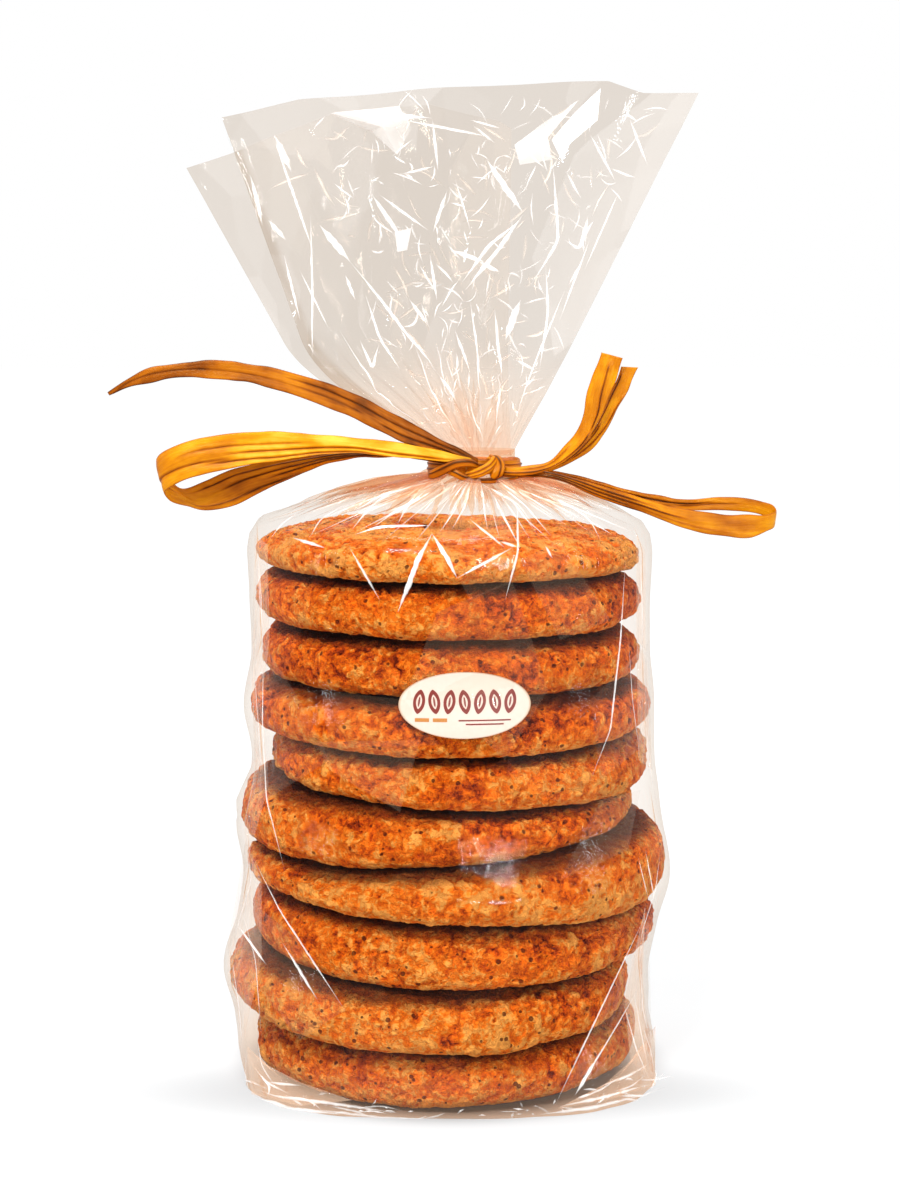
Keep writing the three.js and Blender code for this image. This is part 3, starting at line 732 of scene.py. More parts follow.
RIGHT_TAIL_B = [
  [9.3, -8.6, 137.4, 9.3, -8.6, 135.6],
  [16.6, -9.8, 137, 17.1, -9.8, 135.5],
  [23.4, -10.8, 138.6, 24.3, -10.8, 137.5],
  [28.3, -11.2, 142.4, 30.5, -11.2, 141.1],
  [31.5, -11.2, 146.4, 34.4, -11.2, 145.5],
  [33.9, -11, 150.8, 37.2, -11, 151.2],
  [35.9, -10.8, 155.2, 39.4, -10.8, 155.2],
  [37.6, -10.6, 159.9, 41.5, -10.6, 159.7],
]
KNOT = [                 
  [[-0.6, -8.4, 139.0], [4.4, 2.3, 1.9]],
  [[4.8, -9.0, 138.3], [3.6, 2.6, 2.4]],
  [[9.0, -8.8, 138.6], [2.4, 2.6, 2.6]],
  [[10.4, -9.6, 136.8], [3.4, 1.8, 1.6]],
]
BASE_SQUARE, BODY_ROUND, CORNER_FADE = 3.1, 2.12, 20.0
SHOULDER_R, SHOULDER_Z, SHOULDER_POWER = 43.2, 124.6, 1.35
NECK = dict(x=5.5, y=0.0, a=9.0, b=5.2, z0=135.1, z1=141.0)
FRONT = dict(mid=[[-31, 159.5], [-12, 164], [8, 165], [25.0, 160.5]],
             top=[[-50.1, 214.2], [-33, 217.9], [-8.6, 220.0], [11.1, 221.1], [34.7, 222.0], [42.5, 219.6], [54.2, 219.3]],
             y=[-1.6, -4.0, -7.0], waves=3.5, wave=2.4)
BACK = dict(mid=[[-34.4, 159], [-18, 163], [-2, 164], [13, 161]],
            top=[[-59.6, 203.8], [-48.6, 207.3], [-26.7, 215.8], [-4.4, 217.8], [11.1, 214.1], [13.8, 212.4]],
            y=[1.6, 4.4, 9.0], waves=2.5, wave=2.0)
LABEL = dict(x=3.1, z=90.3, w=27.9, h=13.9)


def table(rows, x):
    """Monotone cubic through each column of a table, read at the array x."""
    rows = np.asarray(rows, float)
    x = np.clip(np.asarray(x, float), rows[0, 0], rows[-1, 0])
    i = np.clip(np.searchsorted(rows[:, 0], x, side="left") - 1, 0, len(rows) - 2)
    h = np.diff(rows[:, 0])
    out = []
    for c in range(1, rows.shape[1]):
        d = np.diff(rows[:, c]) / h
        m = np.empty(len(rows))
        m[0], m[-1] = d[0], d[-1]
        a, b = d[:-1], d[1:]
        m[1:-1] = np.where(a * b <= 0, 0, 2 * a * b / np.where(a + b == 0, 1, a + b))
        t = (x - rows[i, 0]) / h[i]
        t2, t3 = t * t, t * t * t
        out.append((2 * t3 - 3 * t2 + 1) * rows[i, c] + (t3 - 2 * t2 + t) * m[i] * h[i] + (-2 * t3 + 3 * t2) * rows[i + 1, c] + (t3 - t2) * m[i + 1] * h[i])
    return out


def body_exponent(z):
    return BASE_SQUARE + (BODY_ROUND - BASE_SQUARE) * smooth(z / CORNER_FADE)


def body_xy(th, z):
    l, r, f, b = table(FILM, z)
    e = 2 / body_exponent(z)
    c, s = np.cos(th), np.sin(th)
    return np.where(c < 0, -l, r) * np.abs(c) ** e, np.where(s < 0, -f, b) * np.abs(s) ** e


# ------------------------------------------------------------------ crumpled sheets
def facets(a, b, scale, seed):
    """Heights in -1..1 that are flat over random triangles of the given size."""
    x, y = a / scale, b / scale
    i, j = np.floor(x).astype(np.int64), np.floor(y).astype(np.int64)
    fx, fy = x - i, y - j
    z = np.zeros_like(i)
    h = lambda di, dj: _hash(i + di, j + dj, z, seed) * 2 - 1
    h00, h10, h01, h11 = h(0, 0), h(1, 0), h(0, 1), h(1, 1)
    diag = _hash(i, j, z, seed + 5) > 0.5
    A = np.where(fx > fy, h00 + (h10 - h00) * fx + (h11 - h10) * fy, h00 + (h01 - h00) * fy + (h11 - h01) * fx)
    B = np.where(fx + fy < 1, h00 + (h10 - h00) * fx + (h01 - h00) * fy, h11 + (h01 - h11) * (1 - fx) + (h10 - h11) * (1 - fy))
    return np.where(diag, A, B)


def warped(a, b, size, amp, seed):
    P = np.stack([a / size, b / size, np.full_like(a, seed * 1.7)], -1)
    return a + amp * vnoise(P, seed), b + amp * vnoise(P + 9.1, seed + 1)


def rotated(a, b, deg):
    c, s = math.cos(math.radians(deg)), math.sin(math.radians(deg))
    return a * c - b * s, a * s + b * c


def normals_of(P, wrap):
    du = (np.roll(P, -1, 1) - np.roll(P, 1, 1)) if wrap else np.gradient(P, axis=1)
    dv = np.gradient(P, axis=0)
    n = np.cross(du, dv)
    return n / (np.linalg.norm(n, axis=-1, keepdims=True) + 1e-9)


def film_piece(name, P, quads, mat, attrs):
    ob = new_mesh(name, P.reshape(-1, 3), quads, [mat], True, attrs)
    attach(ob, "root")
    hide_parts("bag")
    return ob


SURF = {}          # name -> grid of points and normals, for what lies on the film


def film_body():
    NT = 340
    th = np.linspace(-math.pi, math.pi, NT, endpoint=False) - math.pi / 2
    rows = []
    for rr in (0.0, 0.3, 0.6, 0.8, 0.9, 0.96, 0.985):
        x, y = body_xy(th, np.full(NT, 0.0))
        rows.append((x * rr, y * rr, np.full(NT, 0.15)))
    zs = np.concatenate([[0.15, 0.5, 1.1, 1.9, 2.8], np.linspace(3.8, 122.0, 84)])
    for z in zs:
        x, y = body_xy(th, np.full(NT, z))
        k = 1 - (0.5 * math.exp(-z / 3.5) * (0.5 + 0.5 * np.cos(15 * th + 0.6))) / 46
        rows.append((x * k, y * k, np.full(NT, z)))
    n_flat = 7
    for j in range(0, 27):
        k = (1 - j / 26) ** 1.25
        fold = 1.1 * np.cos(12 * th) * math.sin(math.pi * math.sqrt(k))
        nx, ny = NECK["x"] + NECK["a"] * np.cos(th), NECK["y"] + NECK["b"] * np.sin(th)
        ex, ey = SHOULDER_R * np.cos(th), SHOULDER_R * np.sin(th)
        rows.append((nx + (ex - nx) * k, ny + (ey - ny) * k, NECK["z0"] + (SHOULDER_Z - NECK["z0"]) * k ** SHOULDER_POWER + fold))
    for t in (0.33, 0.66, 1.0):
        rows.append((NECK["x"] + NECK["a"] * np.cos(th), NECK["y"] + NECK["b"] * np.sin(th), np.full(NT, NECK["z0"] + (NECK["z1"] - NECK["z0"]) * t)))
    P = np.stack([np.stack(r, -1) for r in rows], 0)
    R = len(rows)
    # keep clear of the stack: never closer than 0.5 mm outside a biscuit's rim
    rad = np.hypot(P[..., 0], P[..., 1])
    ang = np.arctan2(P[..., 1], P[..., 0])
    rim_r, rim_z = [], []
    for k in range(len(COOKIES)):
        cx, cy, z0, CR, a, b = COOKIES[k]
        dx, dy = np.cos(th), np.sin(th)
        bq = cx * dx + cy * dy
        rr = bq + np.sqrt(np.maximum(0, bq ** 2 - cx ** 2 - cy ** 2 + (CR + 0.35) ** 2))
        lo, hi = plane(k)(rr * dx, rr * dy), plane(k + 1)(rr * dx, rr * dy)
        rim_r.append(rr)
        rim_z.append(lo + 0.45 * (hi - lo))
    rim_r, rim_z = np.array(rim_r), np.array(rim_z)
    for i in range(NT):
        z = P[n_flat:, i, 2]
        need = np.interp(z, rim_z[:, i], rim_r[:, i])
        sel = z < 121
        r0 = rad[n_flat:, i]
        r1 = np.where(sel, np.maximum(r0, need + 0.25 * smooth((z - 2) / 4)), r0)
        f = (r1 / np.maximum(r0, 1e-6))
        P[n_flat:, i, 0] *= f
        P[n_flat:, i, 1] *= f
    n = normals_of(P, True)
    # unrolled coordinates of the sheet, mm
    seg = np.linalg.norm(np.diff(P, axis=0), axis=-1).mean(1)
    t = np.concatenate([[0], np.cumsum(seg)])
    S = np.broadcast_to((th / (2 * math.pi) * 290.0)[None, :], (R, NT)).ravel()
    T = np.broadcast_to(t[:, None], (R, NT)).ravel()
    circ = 290.0
    # periodic in S: not done; per returns fn(S, T) unchanged and is not called
    def per(fn):
        w = smooth((S / circ + 0.25 - 0.88) / 0.12) if False else 0
        return fn(S, T)
    a, b = warped(S, T, 38, 7, 31)
    a, b = rotated(a, b, 31)
    big = facets(a, b * 0.62, 21, 40)
    a2, b2 = warped(S, T, 17, 4, 33)
    a2, b2 = rotated(a2, b2, -24)
    mid = facets(a2, b2 * 0.8, 9.5, 41)
    z = P[..., 2].ravel()
    lowz = smooth((14 - z) / 12)
    shoulder = smooth((z - 121) / 6) * (1 - smooth((z - 134.5) / 1.5))
    amp = 0.55 * big + 0.22 * mid
    fine = facets(*rotated(*warped(S, T, 9, 2, 35), 12), 4.2, 43)
    thr = np.broadcast_to(th[None, :], (R, NT)).ravel()
    tow = smooth((z - 123) / 12)
    phr = 1.4 * vnoise(np.stack([np.cos(thr) * 3, np.sin(thr) * 3, z / 6], -1), 51)
    pl1 = 1 - 2 * np.abs(2 * ((thr * 29 / (2 * math.pi) + phr) % 1.0) - 1)
    pl2 = 1 - 2 * np.abs(2 * ((thr * 53 / (2 * math.pi) + 1.6 * phr) % 1.0) - 1)
    pleats = (0.75 * pl1 + 0.35 * pl2) * tow * (1 - smooth((z - 133.5) / 3))
    amp = amp * (1 - 0.5 * lowz) + pleats + lowz * (0.55 * mid + 0.5 * fine) + shoulder * (0.35 * mid + 0.30 * fine)
    flat = np.zeros((R, 1))
    flat[:n_flat] = 0
    flat[n_flat:n_flat + 5, 0] = (0.1, 0.3, 0.6, 0.9, 1.0)
    flat[n_flat + 5:] = 1
    m = np.broadcast_to(flat, (R, NT)).ravel() * (1 - smooth((z - 134.8) / 1.0) * 0.7)
    # the back seam, where the unrolled sheet closes
    seam = np.minimum(S - S.min(), S.max() - S)
    m = m * smooth(seam / 14)
    V = P.reshape(-1, 3) + n.reshape(-1, 3) * ((amp + 0.30) * m)[:, None]
    V[:, 2] = np.maximum(V[:, 2], 0.05)
    V = V.reshape(R, NT, 3)
    # peach over the shoulder: painted reflection of the top biscuit; brown at the base: painted shade beneath the
    # bottom biscuit
    painted_reflection_tint = np.maximum(smooth((z - 127.5) / 5), 0.8 * smooth((9 - z) / 7))
    haze_and_highlight = 0.001 + 0.09 * smooth((z - 130.5) / 4) + 0.03 * lowz + 0.05 * np.abs(pleats) * smooth((z - 129) / 4)
    film_piece("film_body", V, grid_quads(R, NT, False, True), MAT_BODY, {"haze_and_highlight": haze_and_highlight, "fs": S, "ft": T, "painted_reflection_tint": painted_reflection_tint, "bare": np.zeros_like(z)})
    SURF["body"] = (V, normals_of(V, True))


def along(line, u):
    line = np.asarray(line, float)
    x = line[0, 0] + (line[-1, 0] - line[0, 0]) * u
    return x, np.interp(x, line[:, 0], line[:, 1])


def fan_points(L, U, Vv):
    """Plain form of a fanned layer at the arrays u, v."""
    s = 0.28
    x0, z0 = NECK["x"] + NECK["a"] * 0.92 * (2 * U - 1), np.full_like(U, NECK["z1"] - 1.4)
    x1, z1 = along(L["mid"], U)
    x2, z2 = along(L["top"], U)
    ease = np.maximum(0, 0.09 - np.abs(Vv - s)) ** 2 / 0.36

    def bez(a, b, c):
        line = np.where(Vv < s, a + (b - a) * (Vv / s), b + (c - b) * ((Vv - s) / (1 - s)))
        return line + ease * ((c - b) / (1 - s) - (b - a) / s)
    spread = smooth(Vv / 0.5)
    w = L["wave"] * spread * np.sin(math.pi * (2 * L["waves"] * U + 0.3)) * (0.6 + 0.4 * Vv)
    y0, y1, y2 = L["y"]
    return bez(x0, x1, x2), bez(y0, y1, y2) + w, bez(z0, z1, z2)


def film_fan(name, L, cols, rows, seed, lean):
    u, v = np.linspace(0, 1, cols), np.linspace(0, 1, rows) ** 0.92
    Vv, U = np.meshgrid(v, u, indexing="ij")
    x, y, z = fan_points(L, U.ravel(), Vv.ravel())
    Uf, Vf = U.ravel(), Vv.ravel()
    # unrolled coordinates of the sheet
    A = (Uf - 0.5) * 112
    B = Vf * 84
    near = 1 - smooth(Vf / 0.75)
    # pleats gathered by the tie
    ph = 2.2 * vnoise(np.stack([Uf * 4, Vf * 2.2, np.full_like(Uf, seed)], -1), seed)
    q = (Uf * 11 + ph) % 1.0
    pleat = 1 - 2 * np.abs(2 * q - 1)
    q2 = (Uf * 23 + 1.7 * ph + 0.3) % 1.0
    pleat2 = 1 - 2 * np.abs(2 * q2 - 1)
    near = 1 - smooth(Vf / 0.55)
    y = y + (1.3 * near ** 1.3 * pleat + 0.35 * near ** 2 * pleat2) * smooth(Vf / 0.05)
    # crumple
    a, b = rotated(*warped(A, B, 30, 8, seed + 1), 20 + lean)
    big = facets(a, b * 0.55, 15, seed + 2)
    a, b = rotated(*warped(A, B, 14, 4, seed + 3), -35 + lean)
    mid = facets(a, b * 0.7, 7.2, seed + 4)
    a, b = rotated(*warped(A, B, 8, 2, seed + 5), 10)
    fine = facets(a, b * 0.8, 3.6, seed + 6)
    busy = smooth(0.5 + 1.3 * vnoise(np.stack([A / 26, B / 30, np.full_like(A, 3.3)], -1), seed + 7))
    m = smooth(Vf / 0.10)
    y = y + m * (1.5 * big + (0.15 + 0.45 * busy) * mid + 0.12 * busy * fine)
    P = np.stack([x, y, z], -1).reshape(rows, cols, 3)
    haze_and_highlight = 0.01 + 0.14 * (1 - smooth(Vf / 0.28))
    # peach-brown towards the tie, in the painted reflection tint
    painted_reflection_tint = 0.85 * (1 - smooth(Vf / 0.35))
    bare = np.zeros_like(Uf)
    if lean:
        # behind the front layer the two cling together and read as one thickness
        xf = fan_points(FRONT, np.zeros_like(Uf), np.clip(Vf * 0.95, 0, 1))[0]
        bare = 0.85 * smooth((x - xf - 0.5) / 2.0)
    film_piece(name, P, grid_quads(rows, cols), MAT_FAN, {"haze_and_highlight": haze_and_highlight, "fs": A, "ft": B, "painted_reflection_tint": painted_reflection_tint, "bare": bare})
    SURF[name] = (P, normals_of(P, False))


MAT_BODY = film_material("clear_film_body", (0.965, 0.94, 0.915), 1.0, 42, 0.006)
MAT_FAN = film_material("clear_film_fan", (0.775, 0.71, 0.645), 1.3, 30, 0.09)
MAT_GLINT = film_material("film_crease_painted_glint", (0.97, 0.96, 0.95), 1.5, 60, 0.0, 0.35)
film_body()
film_fan("film_fan_front", FRONT, 180, 125, 60, 0)
film_fan("film_fan_back", BACK, 130, 90, 80, 30)


# ------------------------------------------------------------------ creases that lie on the film, white: partly whitened film, partly painted highlights
def to_screen(P):
    """Pixels of the 900 x 1200 frame at which points in mm show."""
    c, s = math.cos(PITCH), math.sin(PITCH)
    y, z = P[..., 1] + CAM_D, P[..., 2] - CAM_H
    dep = y * c - z * s
    up = z * c + y * s
    return 450 + FOCAL * P[..., 0] / dep, 600 - FOCAL * up / dep


class Surface:
    def __init__(self, name, facing=None):
        P, n = SURF[name]
        P, n = P.reshape(-1, 3), n.reshape(-1, 3)
        view = np.array([0, -CAM_D, CAM_H]) - P
        side = (n * view).sum(-1)
        if facing is None:
            n = np.where(side[:, None] < 0, -n, n)
        else:
            keep = side * facing > 0
            P, n = P[keep], n[keep]
        self.P, self.n = P, n
        self.sx, self.sy = to_screen(P)

    def at(self, px, py):
        px, py = np.atleast_1d(px).astype(float), np.atleast_1d(py).astype(float)
        out_p, out_n = [], []
        for a, b in zip(px, py):
            d = (self.sx - a) ** 2 + (self.sy - b) ** 2
            k = np.argpartition(d, 4)[:4]
            w = 1 / (d[k] + 0.05)
            w /= w.sum()
            y = (self.P[k, 1] * w).sum()
            x, z = unproject(a, b, y)
            n = (self.n[k] * w[:, None]).sum(0)
            out_p.append((x, y, z))
            out_n.append(n / np.linalg.norm(n))
        return np.array(out_p), np.array(out_n)


class CreaseGlints:
    """Ridges and flat patches, gathered into one mesh. Their whiteness is partly whitened film and partly painted
    highlights of the lamps.
    """

    def __init__(self, surface):
        self.s = surface
        self.v, self.f, self.h, self.w = [], [], [], []

    def line(self, pts, width, haze_and_highlight=0.8, lift=0.25, rise=0.28, ends=(0.0, 0.0), painted_reflection_tint=0.0):
        width *= 1.35
        pts = np.asarray(pts, float)
        d = np.concatenate([[0], np.cumsum(np.hypot(*np.diff(pts, axis=0).T))])
        n = max(3, int(d[-1] / 4) + 1)
        t = np.linspace(0, d[-1], n)
        px, py = np.interp(t, d, pts[:, 0]), np.interp(t, d, pts[:, 1])
        P, N = self.s.at(px, py)
        # even out the run so that the ridge is a straight taut fold
        for _ in range(2):
            P[1:-1] = (P[:-2] + 2 * P[1:-1] + P[2:]) / 4
        tan = np.gradient(P, axis=0)
        side = np.cross(N, tan)
        side /= np.linalg.norm(side, axis=-1, keepdims=True) + 1e-9
        q = t / d[-1]
        prof = np.minimum(1, np.minimum(ends[0] + q * 3.2, ends[1] + (1 - q) * 3.2))
        w = width * PXMM * 0.5 * prof
        w = np.maximum(w, 0.02)
        base = len(self.v)
        self.w += [0.0] * (base - len(self.w)) + [painted_reflection_tint] * (3 * n)
        jit = rng.uniform(0.75, 1.25, n)
        for k in range(n):
            c = P[k] + N[k] * lift
            self.v += [c - side[k] * w[k] * jit[k], c + N[k] * rise * min(1, w[k] * 2.2), c + side[k] * w[k] * jit[-k - 1]]
            hk = haze_and_highlight * (0.45 + 0.55 * prof[k]) * (0.75 + 0.25 * jit[k])
            self.h += [hk * 0.7, hk, hk * 0.5]
        for k in range(n - 1):
            a = base + 3 * k
            self.f += [(a, a + 1, a + 4, a + 3), (a + 1, a + 2, a + 5, a + 4)]

    def patch(self, pts, haze_and_highlight=0.6, lift=0.3):
        # a flat white patch: painted highlight where the film faces a lamp
        P, N = self.s.at(*np.asarray(pts, float).T)
        base = len(self.v)
        for p, n in zip(P, N):
            self.v.append(p + n * lift)
            self.h.append(haze_and_highlight * rng.uniform(0.25, 1.3))
        c = P.mean(0) + N.mean(0) * (lift + 0.25)
        self.v.append(c)
        self.h.append(haze_and_highlight)
        m = len(P)
        for k in range(m):
            self.f.append((base + k, base + (k + 1) % m, base + m))

    def painted_reflection_haze(self, pts, haze_and_highlight=0.1, lift=0.1, level=3, painted_reflection_tint=1.0):
        """A large milky patch that follows the film: partly milky film, partly painted reflection of the lamps."""
        pts = [np.array(p, float) for p in pts]
        c = sum(pts) / len(pts)
        tris = [(pts[k], pts[(k + 1) % len(pts)], c) for k in range(len(pts))]
        for _ in range(level):
            nxt = []
            for a, b, d in tris:
                ab, bd, da = (a + b) / 2, (b + d) / 2, (d + a) / 2
                nxt += [(a, ab, da), (ab, b, bd), (da, bd, d), (ab, bd, da)]
            tris = nxt
        key, px = {}, []
        for t in tris:
            for q in t:
                k = (round(q[0], 2), round(q[1], 2))
                if k not in key:
                    key[k] = len(px)
                    px.append(k)
        P, N = self.s.at(*np.array(px).T)
        base = len(self.v)
        self.w += [0.0] * (base - len(self.w)) + [painted_reflection_tint] * len(px)
        self.v += list(P + N * lift)
        self.h += [haze_and_highlight] * len(px)
        self.f += [tuple(base + key[(round(q[0], 2), round(q[1], 2))] for q in t) for t in tris]

    def make(self, name):
        nil = np.zeros(len(self.v))
        painted_reflection_tint = np.array(self.w + [0.0] * (len(self.v) - len(self.w)))
        V = np.array(self.v)
        V[:, 2] = np.maximum(V[:, 2], 0.05)
        ob = new_mesh(name, V, self.f, [MAT_GLINT], False, {"haze_and_highlight": np.clip(self.h, 0, 1), "fs": nil, "ft": nil, "painted_reflection_tint": np.where(painted_reflection_tint > 1.4, painted_reflection_tint - 1, np.clip(painted_reflection_tint, 0, 1)), "bare": 1.0 * (painted_reflection_tint < 1.4)})
        ob.visible_shadow = False
        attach(ob, "root")
        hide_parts("bag")


fan = CreaseGlints(Surface("film_fan_front"))
# white creases of the fan: partly whitened film, partly painted highlights
for pts, w in (
    ([(332, 112), (432, 118)], 5), ([(487, 160), (523, 212)], 5), ([(523, 215), (497, 252), (465, 290)], 3), ([(521, 220), (489, 246), (462, 282)], 2.2),
    ([(275, 135), (292, 172)], 4.5), ([(275, 140), (296, 200), (315, 255)], 1.8), ([(250, 175), (257, 200), (262, 225)], 2.4), ([(268, 220), (286, 240)], 3),
    ([(311, 215), (313, 290), (312, 360)], 1.6), ([(320, 225), (350, 262)], 5), ([(350, 262), (395, 318), (440, 375)], 2.2),
    ([(372, 195), (388, 218), (405, 243)], 3.2), ([(380, 195), (428, 230)], 2.0), ([(433, 232), (447, 190)], 2.4), ([(433, 120), (438, 170)], 2),
    ([(405, 120), (490, 137)], 1.6), ([(553, 165), (558, 240), (545, 262), (530, 285)], 2.4), ([(590, 135), (615, 180)], 2), ([(630, 120), (648, 165)], 1.6),
    ([(565, 240), (580, 250), (587, 218)], 2.6), ([(450, 250), (485, 262)], 2.6), ([(480, 262), (500, 272)], 3), ([(430, 255), (437, 300)], 1.8),
    ([(410, 300), (428, 325)], 2.2), ([(345, 275), (355, 300)], 2.2), ([(365, 295), (380, 340), (400, 370)], 2), ([(360, 340), (372, 370), (378, 345)], 2.4),
    ([(520, 300), (505, 340)], 5), ([(495, 310), (502, 380)], 2.2), ([(545, 265), (548, 310), (540, 370)], 1.8), ([(515, 360), (535, 370)], 2.2),
    ([(440, 375), (455, 400)], 3), ([(510, 400), (520, 420)], 2.4), ([(470, 300), (478, 350), (480, 400)], 1.6), ([(455, 330), (470, 372)], 1.8),
    ([(415, 345), (440, 410), (462, 440)], 1.6), ([(340, 330), (380, 395), (430, 430)], 1.4), ([(565, 290), (540, 350), (515, 420)], 1.3),
    ([(590, 240), (560, 320)], 1.2), ([(620, 190), (585, 270)], 1.1), ([(300, 270), (330, 330)], 1.2), ([(284, 255), (300, 320)], 1.6),
    ([(470, 400), (482, 440)], 1.6), ([(500, 380), (497, 430)], 1.6), ([(455, 180), (470, 230)], 1.4), ([(470, 120), (500, 128)], 1.4),
):
    fan.line(pts, w, 0.85)
# white patches on the fan: painted highlights of the lamps
fan.patch([(330, 113), (400, 106), (412, 128), (398, 155), (372, 132)], 0.35)
fan.patch([(600, 88), (597, 120), (568, 145), (562, 162), (552, 140), (575, 112)], 0.75)
fan.patch([(578, 100), (545, 122), (515, 145), (520, 165), (552, 160), (548, 138)], 0.45)
fan.patch([(395, 232), (412, 228), (408, 250), (398, 252)], 0.6)
for _ in range(85):
    # small bent folds of the crumple, white: partly painted highlights
    v = rng.uniform(0.05, 1) ** 1.1
    cx0, cy0 = 475 + rng.uniform(-1, 1) * (25 + 150 * (1 - v)), 425 - 290 * (1 - v)
    r0, a0, sp = rng.uniform(4, 13), rng.uniform(0, 2 * math.pi), rng.uniform(0.8, 2.4)
    t0 = np.linspace(0, 1, 5)
    fan.line([(cx0 + r0 * math.cos(a0 + sp * t), cy0 + 1.5 * r0 * math.sin(a0 + sp * t)) for t in t0], rng.uniform(0.6, 1.7), rng.uniform(0.3, 0.8))
for _ in range(14):
    # brown-tinted folds towards the tie, in the painted reflection tint
    q, ln = rng.uniform(-1, 1), rng.uniform(0.25, 0.8)
    x0, y0 = 478 + 70 * q, 330 + rng.uniform(0, 50)
    p0 = (x0 + (479 + 12 * q - x0) * (1 - ln), y0 + (452 - y0) * (1 - ln))
    fan.line([p0, ((p0[0] + 479 + 12 * q) / 2 + rng.normal(0, 3), (p0[1] + 452) / 2), (479 + 12 * q, 452)], rng.uniform(2.5, 8), rng.uniform(0.06, 0.16), 0.2, 0.2, painted_reflection_tint=1.45)
for _ in range(150):
    # short random folds, most of them in the lower half where the film is gathered; white, partly painted highlights
    v = rng.uniform(0, 1) ** 1.3
    px0 = 475 + (rng.uniform(-1, 1)) * (30 + 165 * (1 - v))
    py0 = 440 - 330 * (1 - v)
    ang = math.atan2(py0 - 470, px0 - 478) + rng.normal(0, 0.5 + 0.6 * (1 - v))
    ln = rng.uniform(8, 34)
    x1, y1 = px0 + ln * math.cos(ang), py0 + ln * math.sin(ang)
    fan.line([(px0, py0), ((px0 + x1) / 2 + rng.normal(0, 2), (py0 + y1) / 2 + rng.normal(0, 2)), (x1, y1)], rng.uniform(0.7, 1.7), rng.uniform(0.3, 0.8))
fan.make("film_fan_crease_glints")

bodyc = CreaseGlints(Surface("body", 1))
# white creases on the body: partly whitened film, partly painted highlights
for pts, w, h in (
    ([(355, 535), (380, 527), (430, 526)], 4.5, 0.9), ([(432, 534), (418, 560), (398, 612)], 3.6, 0.85), ([(432, 534), (446, 556), (457, 578)], 3.2, 0.85),
    ([(457, 578), (512, 548)], 2.0, 0.7), ([(293, 538), (325, 548)], 2.4, 0.7), ([(350, 548), (380, 600)], 1.8, 0.6), ([(470, 520), (505, 548)], 2.0, 0.6),
    ([(517, 500), (518, 552), (505, 600)], 1.6, 0.6), ([(500, 542), (517, 547)], 2.6, 0.7), ([(583, 518), (612, 535)], 2.0, 0.6), ([(545, 546), (552, 558)], 2.4, 0.7),
    ([(250, 850), (280, 910), (345, 1010)], 1.7, 0.6), ([(238, 925), (267, 965)], 2.6, 0.8), ([(283, 943), (318, 1000)], 2.2, 0.7),
    ([(264, 640), (263, 720), (267, 800), (285, 870)], 2.0, 0.6), ([(625, 560), (620, 640), (610, 730), (590, 780)], 2.0, 0.6),
    ([(645, 850), (655, 905)], 1.4, 0.6), ([(638, 858), (648, 900)], 1.2, 0.5), ([(650, 905), (600, 1010), (555, 1105)], 1.6, 0.6),
    ([(640, 985), (608, 1040), (575, 1095)], 1.5, 0.6), ([(597, 1058), (575, 1095)], 3.2, 0.8), ([(258, 560), (262, 620)], 1.6, 0.5), ([(640, 560), (643, 640)], 1.6, 0.5),
):
    bodyc.line(pts, w, h, 0.12, 0.2)
